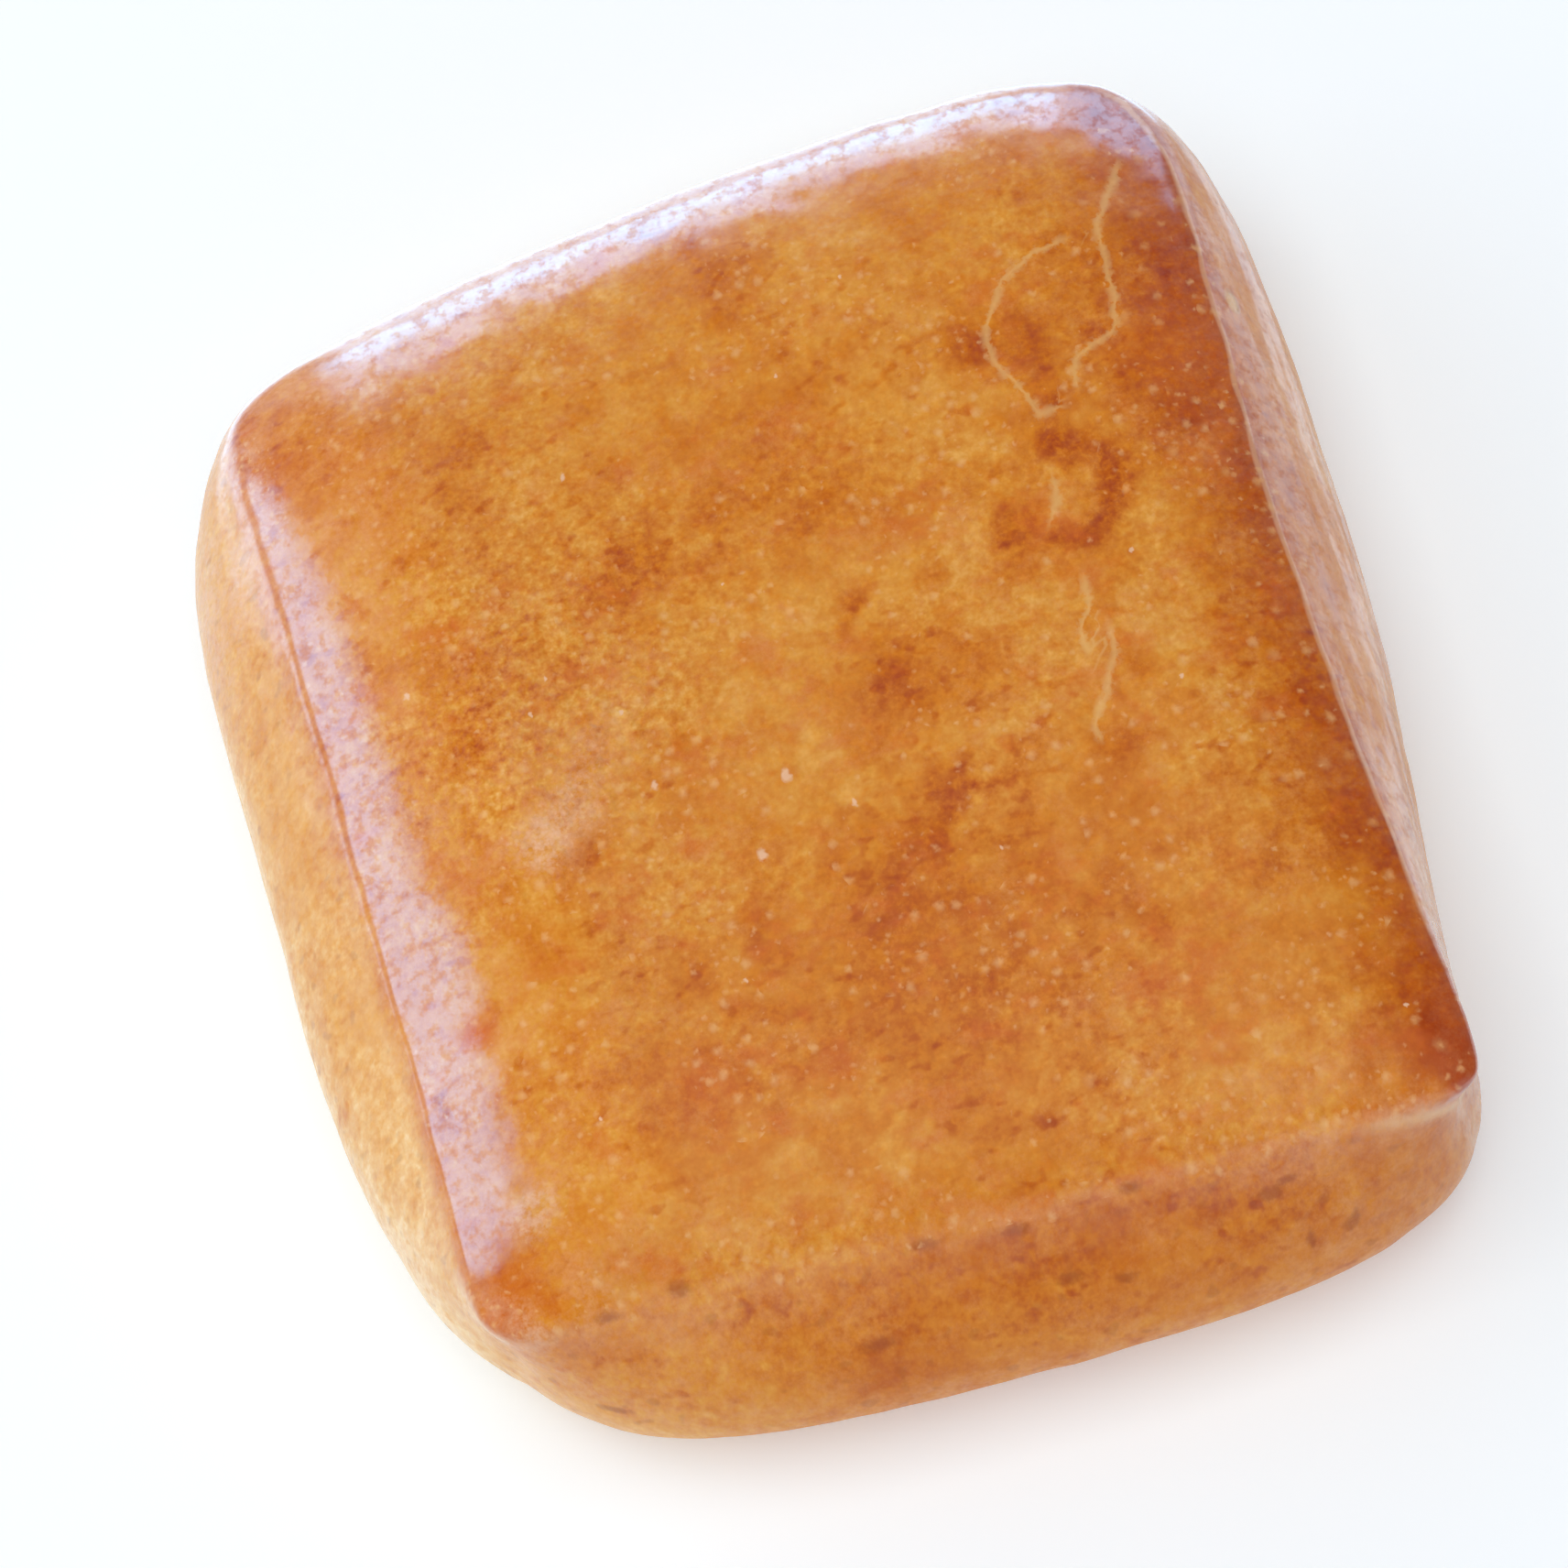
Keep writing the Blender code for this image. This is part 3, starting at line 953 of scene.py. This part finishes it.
class Graph:
    """A short way to write a material's nodes."""

    def __init__(self, tree):
        self.tree = tree

    def node(self, kind, inputs=(), **settings):
        """Adds a node. inputs maps a socket's name or number to a value or to another node's output."""
        made = self.tree.nodes.new(kind)
        for name, value in settings.items():
            setattr(made, name, value)
        for socket, value in dict(inputs).items():
            if isinstance(value, bpy.types.NodeSocket):
                self.tree.links.new(value, made.inputs[socket])
            else:
                made.inputs[socket].default_value = value
        return made

    def math(self, operation, *values):
        return self.node("ShaderNodeMath", dict(enumerate(values)), operation=operation).outputs[0]

    def times(self, one, other, plus=None):
        """One times the other, and plus a third where it is given."""
        if plus is None:
            return self.math("MULTIPLY", one, other)
        return self.math("MULTIPLY_ADD", one, other, plus)

    def minus(self, one, other):
        return self.math("SUBTRACT", one, other)

    def larger(self, one, other):
        return self.math("MAXIMUM", one, other)

    def attribute(self, name):
        return self.node("ShaderNodeAttribute", attribute_name=name).outputs["Fac"]

    def noise(self, vector, wavelength, detail=2.0, roughness=0.5):
        """Noise from 0 to 1. wavelength is in mm, for a vector in metres."""
        inputs = {"Vector": vector, "Scale": 1 / (wavelength * MM), "Detail": detail, "Roughness": roughness}
        return self.node("ShaderNodeTexNoise", inputs).outputs["Fac"]

    def spots(self, vector, share, spacing, smallest, largest):
        """Round spots from 0 to 1 over the top, in a share of the cells of a pattern.

        spacing is the pattern's, in mm. smallest and largest are the spots' radii as shares of it.
        """
        inputs = {"Vector": vector, "Scale": 1 / (spacing * MM), "Randomness": 1.0}
        cells = self.node("ShaderNodeTexVoronoi", inputs, voronoi_dimensions="2D")
        chance = self.node("ShaderNodeSeparateColor", {0: cells.outputs["Color"]}).outputs
        radius = self.between(chance[1], 0.0, 1.0, smallest, largest)
        spot = self.between(self.math("DIVIDE", cells.outputs["Distance"], radius), 1.0, 0.0)
        return self.times(spot, self.math("LESS_THAN", chance[0], share))

    def spot_at(self, vector, centre, radius):
        """One round spot from 0 to 1. centre and radius are in mm."""
        gap = self.node("ShaderNodeVectorMath", {0: vector, 1: centre}, operation="DISTANCE").outputs["Value"]
        return self.between(gap, radius * MM, SPOT_CORE * radius * MM)

    def scaled(self, vector, factors):
        return self.node("ShaderNodeVectorMath", {0: vector, 1: factors}, operation="MULTIPLY").outputs[0]

    def cover(self, colour, share, look, strength=None):
        """The colour with a share of a look, in sRGB, laid over it."""
        if strength is not None:
            share = self.times(share, strength)
        return self.mix_colour(share, colour, (*albedo(look), 1.0))

    def between(self, value, low, high, to_low=0.0, to_high=1.0):
        """The value taken smoothly from low..high to to_low..to_high, and held there."""
        inputs = {0: value, 1: low, 2: high, 3: to_low, 4: to_high}
        return self.node("ShaderNodeMapRange", inputs, interpolation_type="SMOOTHSTEP").outputs[0]

    def mix_colour(self, share, one, other):
        """A colour between one and other."""
        made = self.node("ShaderNodeMix", data_type="RGBA")
        for socket, value in ((made.inputs[0], share), (made.inputs[6], one), (made.inputs[7], other)):
            if isinstance(value, bpy.types.NodeSocket):
                self.tree.links.new(value, socket)
            else:
                socket.default_value = value
        return made.outputs[2]

    def ramp(self, value, stops):
        made = self.node("ShaderNodeValToRGB", {"Fac": value})
        elements = made.color_ramp.elements
        while len(elements) < len(stops):
            elements.new(0.5)
        for element, (position, colour) in zip(elements, stops):
            element.position = position
            element.color = (*colour, 1.0)
        return made.outputs["Color"]


# What each degree of baking looks like in the photo, in sRGB
BAKE_LOOKS = (
    (0.00, (246, 222, 184)),
    (0.12, (235, 196, 136)),
    (0.24, (227, 174, 98)),
    (0.36, (218, 155, 68)),
    (0.48, (210, 135, 47)),
    (0.60, (200, 118, 35)),
    (0.70, (189, 102, 26)),
    (0.82, (174, 82, 18)),
    (1.00, (155, 62, 12)),
)
CRACK_LOOK = (224, 184, 128)
BLISTER_LOOK = (224, 172, 118)
# The haze's colour and its whiter frost are partly painted sheen
HAZE_AND_SHEEN_LOOK = (224, 167, 118)
FROST_AND_SHEEN_LOOK = (232, 192, 168)
RED_LOOK = (204, 104, 48)
DOT_LOOK = (230, 186, 138)
# Painted glints on blisters
BLISTER_GLINT_LOOK = (232, 196, 176)
MARK_LOOK = (148, 70, 34)
# A painted highlight along the fold
FOLD_HIGHLIGHT_LOOK = (232, 200, 156)
# A painted highlight along the right ridge
RIDGE_HIGHLIGHT_LOOK = (236, 198, 176)
BUBBLE_LOOK = (205, 150, 72)

# The light that the top gets from the lamps and the surroundings, in linear red, green and blue, what its
# gloss adds, and the darkest that a colour may be
TOP_LIGHT = (0.90, 0.97, 1.18)
TOP_GLOSS = 0.010
DARKEST = 0.002

# Patterns are drawn out down the sides, and streaks run round them, sinking a little towards the front
DOWN_STRETCH = (1.0, 1.0, 0.5)
STREAK_WAY = (0.0, -0.10, 1.0)
STREAK_STRETCH = 0.16
LEATHER_STRETCH = (0.7, 1.0, 1.0)
BLISTER_GLINT_STRETCH = (1.0, 0.7, 0.0)
BUBBLE_STRETCH = (0.2, 0.5, 0.6)

# Noises: the wavelength in mm, how many finer layers, and how strong these are
STREAK_NOISE = (3.2, 2.5, 0.7)
SKIN_NOISE = (13.0, 5.0, 0.92)
PIT_NOISE = (1.3, 3.0, 0.75)
SPECK_NOISE = (1.3, 1.0, 0.5)
GRAIN_NOISE = (0.9, 2.0, 0.7)
RED_NOISE = (5.0, 3.0, 0.75)
CLOUD_NOISE = (5.0, 5.0, 0.95)
FLECK_NOISE = (1.2, 0.0)
BUMP_NOISE = (1.6, 2.0, 0.55)

# How much browner each makes the crust
SKIN_BROWNING = 0.72
STREAK_BROWNING = 0.6
SPECK_BROWNING = 0.15
GRAIN_BROWNING = 0.42

# Where a noise, a share or a distance in mm turns into a look: from where to where, and from what to what
BLOTCH_BREAKS = (0.34, 0.62, 0.7, 1.15)
SPECK_STEP = (0.56, 0.72)
RED_STEP = (0.50, 0.72, 0.0, 0.50)
HAZE_AND_SHEEN_BREAKS = (-0.12, 0.10, 0.45, 1.45)
HAZE_AND_SHEEN_ON_BROWN = (0.50, 0.78, 1.0, 0.35)
FROST_AND_SHEEN_STEP = (0.16, 0.42)
FLECK_STEP = (0.68, 0.82, 0.0, 0.45)
MARK_EDGE = (1.4, 0.3)
RIDGE_HIGHLIGHT_EDGE = (0.45, 0.12)
CRACK_WIDTH = (0.36, 0.60, 0.20, 0.85)
DENSE_STEP = (0.14, 0.40)
ROUGHNESS = (0.3, 0.7, 0.34, 0.52)
RUN_STEP = (0.38, 0.60)
SHEEN_STEP = (-2.0, 1.3, 0.0, 0.94)
GLAZE_PITS = (0.34, 0.56, 0.45, 1.0)

# The haze and painted sheen: the strength of its cloud where there is none and more where there is much, and
# the thickest it gets
CLOUD_GAIN = (1.6, 1.8)
THICKEST_HAZE_AND_SHEEN = 0.8

# The noise of the pits moves the marks' edges by this share of their size and the sheen's edge by this many
# mm, and the grain moves the cracks by this many mm
MARK_RAGGED = 1.6
SHEEN_EDGE_RAGGED = 7.0
CRACK_RAGGED = 0.5

# Round spots: the spacing in mm, and the smallest and largest radius as shares of it
LARGE_SPOTS = (2.6, 0.16, 0.36)
SMALL_SPOTS = (2.1, 0.14, 0.34)
TINY_SPOTS = (0.95, 0.20, 0.44)
SPOT_CORE = 0.4

# The share of their places that the spots fill where they are most: large ones, small ones on the crest, and
# tiny ones in drifts and in dense haze
LARGE_SHARE = 0.65
CREST_SHARE = 0.9
TINY_SHARE = 0.45
DENSE_SHARE = 0.9

# How strongly each look covers the crust. Tiny dots cover it by the second value more where they are dense
# The line along the right ridge, the fold and the blisters' glints are painted highlights
COVER = {"mark": 0.60, "fold_highlight": 0.75, "line": 0.45, "crack": 0.62, "large": 0.44, "small": 0.52, "blister_glint": 0.85}
TINY_COVER = (0.34, 0.28)

# The bump's depth in mm, and its share all over, on leathery skin and in the haze and painted sheen
BUMP_DEPTH = 0.30
BUMP_SHARES = (0.8, 0.8, 2.0)
BUBBLE_DEPTH = 0.30

# The glaze, as the shader's coat, and what is under it
COAT_ROUGHNESS = 0.18
COAT_IOR = 1.8
SKIN_SPECULAR = 0.10
STREAKS_THIN_GLAZE = 0.65
BASE_ROUGHER = 0.35


def albedo(look):
    """The linear colour of a matt skin that looks like the sRGB colour, with parts over 10, on the top."""
    linear = [((part / 255 + 0.055) / 1.055) ** 2.4 for part in look]
    return tuple(max(part - TOP_GLOSS, DARKEST) / light for part, light in zip(linear, TOP_LIGHT))


def crust_material():
    """The glazed crust: its bake, its haze and painted sheen, its marks, its painted highlights and glints,
    its fine relief, and the glaze over them as a coat.
    """
    material = bpy.data.materials.new("glazed_crust_detail")
    material.use_nodes = True
    g = Graph(material.node_tree)
    shader = material.node_tree.nodes["Principled BSDF"]
    whole = g.node("ShaderNodeTexCoord").outputs["Object"]
    place = g.scaled(whole, DOWN_STRETCH)
    side = g.attribute("side")
    base = g.attribute("base")
    top = g.minus(1.0, side)

    # Streaks
    flow = g.node("ShaderNodeVectorMath", {0: whole, 1: STREAK_WAY}, operation="DOT_PRODUCT").outputs["Value"]
    spread = g.node("ShaderNodeSeparateXYZ", {0: place}).outputs
    x, y = (g.times(spread[axis], STREAK_STRETCH) for axis in range(2))
    stretched = g.node("ShaderNodeCombineXYZ", {0: x, 1: y, 2: flow}).outputs[0]
    streaks = g.noise(stretched, *STREAK_NOISE)
    streaky = g.attribute("streaks")

    # The bake is uneven at every size from 13 mm down to less than half a millimetre
    skin = g.minus(g.noise(place, *SKIN_NOISE), 0.5)
    pits = g.noise(place, *PIT_NOISE)
    pits_both_ways = g.minus(pits, 0.5)
    bake = g.times(skin, SKIN_BROWNING, g.attribute("bake"))
    bake = g.times(g.attribute("blotch"), g.between(pits, *BLOTCH_BREAKS), bake)
    streak = g.times(g.minus(streaks, 0.5), streaky)
    bake = g.times(streak, STREAK_BROWNING, bake)

    # Small soft red-brown specks and a fine grain, in drifts
    leather = g.scaled(place, LEATHER_STRETCH)
    specks = g.times(g.between(g.noise(leather, *SPECK_NOISE), *SPECK_STEP), g.attribute("specked"))
    bake = g.times(specks, SPECK_BROWNING, bake)
    grain = g.minus(g.noise(place, *GRAIN_NOISE), 0.5)
    bake = g.times(g.times(grain, g.attribute("grainy")), GRAIN_BROWNING, bake)
    colour = g.ramp(bake, [(stop, albedo(look)) for stop, look in BAKE_LOOKS])
    red = g.larger(g.between(g.noise(leather, *RED_NOISE), *RED_STEP), g.attribute("red"))
    colour = g.cover(colour, g.times(red, top), RED_LOOK)

    # Haze, partly from tiny bubbles in the glaze and partly painted sheen, whiter where thick, at every size
    # too
    haze_and_sheen = g.attribute("haze_and_sheen")
    fine = g.minus(g.noise(place, *CLOUD_NOISE), 0.5)
    gain = g.times(haze_and_sheen, CLOUD_GAIN[1], CLOUD_GAIN[0])
    cloud = g.times(fine, gain, g.times(haze_and_sheen, g.between(grain, *HAZE_AND_SHEEN_BREAKS)))
    cloud = g.times(cloud, g.between(bake, *HAZE_AND_SHEEN_ON_BROWN))
    cloud = g.node("ShaderNodeClamp", {"Value": cloud, "Min": 0.0, "Max": THICKEST_HAZE_AND_SHEEN}).outputs[0]
    frost_and_sheen = g.between(haze_and_sheen, *FROST_AND_SHEEN_STEP)
    haze_and_sheen_colour = g.mix_colour(frost_and_sheen, (*albedo(HAZE_AND_SHEEN_LOOK), 1.0), (*albedo(FROST_AND_SHEEN_LOOK), 1.0))
    colour = g.mix_colour(cloud, colour, haze_and_sheen_colour)

    # Purplish brown marks in named places, and small flecks like them all over the sides
    flecks = g.times(g.between(g.noise(leather, *FLECK_NOISE), *FLECK_STEP), side)
    gap = g.times(pits_both_ways, MARK_RAGGED, g.attribute("mark_gap"))
    mark = g.larger(g.between(gap, *MARK_EDGE), flecks)
    colour = g.cover(colour, mark, MARK_LOOK, COVER["mark"])
    # A painted highlight along the fold under the front right corner
    colour = g.cover(colour, g.attribute("fold_highlight"), FOLD_HIGHLIGHT_LOOK, COVER["fold_highlight"])

    # A painted highlight: a thin pale line along the right ridge
    line = g.between(g.math("ABSOLUTE", g.attribute("below_ridge")), *RIDGE_HIGHLIGHT_EDGE)
    line = g.times(line, g.attribute("ridge_highlight"))
    colour = g.cover(colour, line, RIDGE_HIGHLIGHT_LOOK, COVER["line"])

    # Cracks in the glaze, pale and patchy
    wiggle = g.math("ABSOLUTE", g.times(grain, CRACK_RAGGED, g.attribute("crack")))
    share = g.minus(1.0, g.math("DIVIDE", wiggle, g.between(pits, *CRACK_WIDTH)))
    crack = g.times(g.between(share, 0.0, 1.0), g.attribute("crack_strength"))
    colour = g.cover(colour, crack, CRACK_LOOK, COVER["crack"])

    # Soft pale blisters up to 1.9 mm across, most of them along the right ridge
    sway = g.node("ShaderNodeCombineXYZ", {0: grain, 1: pits_both_ways, 2: 0.0}).outputs[0]
    bent = {0: sway, 1: (MM, MM, MM), 2: place}
    bent = g.node("ShaderNodeVectorMath", bent, operation="MULTIPLY_ADD").outputs[0]
    large = g.spots(bent, g.times(g.attribute("blistered"), LARGE_SHARE), *LARGE_SPOTS)
    colour = g.cover(colour, large, BLISTER_LOOK, COVER["large"])

    # Many tiny pale bubbles under the glaze, dense under the haze and painted sheen and along the front crest
    crest = g.times(g.attribute("crest"), CREST_SHARE)
    dotted = g.times(g.larger(g.attribute("dotted"), crest), top)
    dense = g.times(g.between(haze_and_sheen, *DENSE_STEP), top)
    small = g.spots(bent, dotted, *SMALL_SPOTS)
    most = g.larger(g.times(dotted, TINY_SHARE), g.times(dense, DENSE_SHARE))
    tiny = g.spots(bent, most, *TINY_SPOTS)
    dots = g.times(tiny, g.times(dense, TINY_COVER[1], TINY_COVER[0]))
    dots = g.larger(g.times(small, COVER["small"]), dots)
    colour = g.cover(colour, dots, DOT_LOOK)

    # One golden bubble stands out of the right side
    *centre, radius = BUBBLE
    centre = tuple(factor * part * MM for factor, part in zip(BUBBLE_STRETCH, centre))
    bubble = g.spot_at(g.scaled(whole, BUBBLE_STRETCH), centre, radius)
    colour = g.cover(colour, bubble, BUBBLE_LOOK)

    # Painted glints: a few blisters in named places are painted almost white where light glints off them
    flat = g.scaled(bent, BLISTER_GLINT_STRETCH)
    blister_glint = 0.0
    for x, y, radius in BLISTER_GLINTS:
        centre = (BLISTER_GLINT_STRETCH[0] * x * MM, BLISTER_GLINT_STRETCH[1] * y * MM, 0.0)
        blister_glint = g.larger(blister_glint, g.spot_at(flat, centre, radius))
    colour = g.cover(colour, g.times(blister_glint, top), BLISTER_GLINT_LOOK, COVER["blister_glint"])

    # Relief too fine for the mesh, in mm
    all_over, on_leather, in_haze_and_sheen = BUMP_SHARES
    rough = g.times(g.attribute("leathery"), on_leather, all_over)
    rough = g.times(haze_and_sheen, in_haze_and_sheen, rough)
    height = g.times(g.noise(place, *BUMP_NOISE), g.times(rough, BUMP_DEPTH))
    height = g.times(bubble, BUBBLE_DEPTH, height)
    bump = g.node("ShaderNodeBump", {"Height": height, "Distance": MM, "Strength": 1.0})

    # The glaze is thin between the streaks' runs, past the edge of the wet-looking part, and in the pits
    between_runs = g.minus(1.0, g.between(streaks, *RUN_STEP))
    thin = g.times(between_runs, g.math("MINIMUM", streaky, 1.0))
    left = g.times(thin, -STREAKS_THIN_GLAZE, 1.0)
    glaze = g.times(g.attribute("glaze"), left)
    edge = g.times(pits_both_ways, SHEEN_EDGE_RAGGED, g.attribute("past_sheen"))
    dried = g.times(g.between(edge, *SHEEN_STEP), g.attribute("by_sheen"))
    glaze = g.times(glaze, g.minus(1.0, dried))
    glaze = g.times(glaze, g.between(pits, *GLAZE_PITS))

    links = material.node_tree.links
    links.new(colour, shader.inputs["Base Color"])
    rough = g.times(base, BASE_ROUGHER, g.between(pits, *ROUGHNESS))
    links.new(rough, shader.inputs["Roughness"])
    links.new(bump.outputs["Normal"], shader.inputs["Normal"])
    links.new(glaze, shader.inputs["Coat Weight"])
    shader.inputs["Coat Roughness"].default_value = COAT_ROUGHNESS
    shader.inputs["Coat IOR"].default_value = COAT_IOR
    shader.inputs["Specular IOR Level"].default_value = SKIN_SPECULAR
    return material


def make_roll():
    """The roll's skin, on the CAD solid's place."""
    skin = bpy.data.objects.new("bread_roll_crust", cage())
    bpy.context.scene.collection.objects.link(skin)
    apply_rounding(skin)
    roughen(skin.data)
    fit_to_box(skin.data, *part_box("bread_roll"))
    mark_crust(skin.data)
    skin.data.materials.clear()
    skin.data.materials.append(crust_material())
    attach(skin, "root")
    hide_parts("bread_roll")


def make_floor():
    """A wide pale matt floor under the roll."""
    bm = bmesh.new()
    bmesh.ops.create_grid(bm, x_segments=8, y_segments=8, size=FLOOR_HALF_WIDTH)
    mesh = bpy.data.meshes.new("floor")
    bm.to_mesh(mesh)
    bm.free()
    floor = bpy.data.objects.new("floor", mesh)
    bpy.context.scene.collection.objects.link(floor)
    material = bpy.data.materials.new("pale_floor")
    material.use_nodes = True
    shader = material.node_tree.nodes["Principled BSDF"]
    shader.inputs["Base Color"].default_value = FLOOR_COLOUR
    shader.inputs["Roughness"].default_value = FLOOR_ROUGHNESS
    shader.inputs["Specular IOR Level"].default_value = FLOOR_SPECULAR
    shader.inputs["Emission Color"].default_value = FLOOR_GLOW_COLOUR
    shader.inputs["Emission Strength"].default_value = FLOOR_GLOW
    mesh.materials.append(material)


def soft_light(name, size, radiance, colour):
    """A flat area light, facing down where it stands at first, which the camera doesn't see."""
    lamp = bpy.data.lights.new(name, "AREA")
    lamp.shape = "RECTANGLE"
    lamp.size, lamp.size_y = size
    lamp.energy = radiance * math.pi * lamp.size * lamp.size_y
    lamp.color = colour
    made = bpy.data.objects.new(name, lamp)
    made.visible_camera = False
    bpy.context.scene.collection.objects.link(made)
    return made


def make_light():
    """Cool soft boxes behind and to the left, and surroundings that are bright near the horizon."""
    for name, (round_from_back, up, distance, size, radiance, colour, lights, mirrored) in SOFT_BOXES.items():
        azimuth, elevation = math.radians(round_from_back), math.radians(up)
        level = Vector((math.sin(azimuth), math.cos(azimuth), 0)) * math.cos(elevation)
        direction = level + Vector((0, 0, math.sin(elevation)))
        box = soft_light(name, size, radiance, colour)
        box.visible_diffuse = lights
        box.visible_glossy = mirrored
        box.location = direction * distance
        box.rotation_euler = direction.to_track_quat("Z", "Y").to_euler()

    for name, ((left, right), (near, far), radiance, colour) in FLOOR_PANELS.items():
        panel = soft_light(name, (right - left, far - near), radiance, colour)
        panel.visible_diffuse = False
        panel.location = ((left + right) / 2, (near + far) / 2, MM)
        panel.rotation_euler = (math.pi, 0, 0)

    world = bpy.data.worlds.new("surroundings")
    world.use_nodes = True
    bpy.context.scene.world = world
    g = Graph(world.node_tree)
    ray = g.node("ShaderNodeTexCoord").outputs["Generated"]
    towards = g.node("ShaderNodeSeparateXYZ", {0: ray}).outputs
    horizon = g.mix_colour(g.between(towards["X"], *RIGHT_DIMS), HORIZON_LIGHT, RIGHT_LIGHT)
    colour = g.mix_colour(g.between(towards["Z"], *ZENITH_DIMS), horizon, ZENITH_LIGHT)
    background = world.node_tree.nodes["Background"]
    world.node_tree.links.new(colour, background.inputs["Color"])


def make_camera():
    """The camera at the photo's viewing angle."""
    elevation, roll = math.radians(CAMERA_ELEVATION), math.radians(CAMERA_ROLL)
    back = Vector((0, -math.cos(elevation), math.sin(elevation)))
    right = Vector((1, 0, 0))
    up = back.cross(right)
    across = right * math.cos(roll) + up * math.sin(roll)
    upward = up * math.cos(roll) - right * math.sin(roll)
    place = Matrix((across, upward, back)).transposed().to_4x4()
    place.translation = CAMERA_TARGET + back * CAMERA_DISTANCE
    lens = bpy.data.cameras.new("camera")
    lens.lens = CAMERA_LENS
    lens.sensor_width = CAMERA_SENSOR
    lens.clip_start = CAMERA_NEAREST
    lens.clip_end = CAMERA_FARTHEST
    camera = bpy.data.objects.new("camera", lens)
    camera.matrix_world = place
    bpy.context.scene.collection.objects.link(camera)
    bpy.context.scene.camera = camera


make_roll()
make_floor()
make_light()
make_camera()
bpy.context.scene.view_settings.view_transform = "Standard"
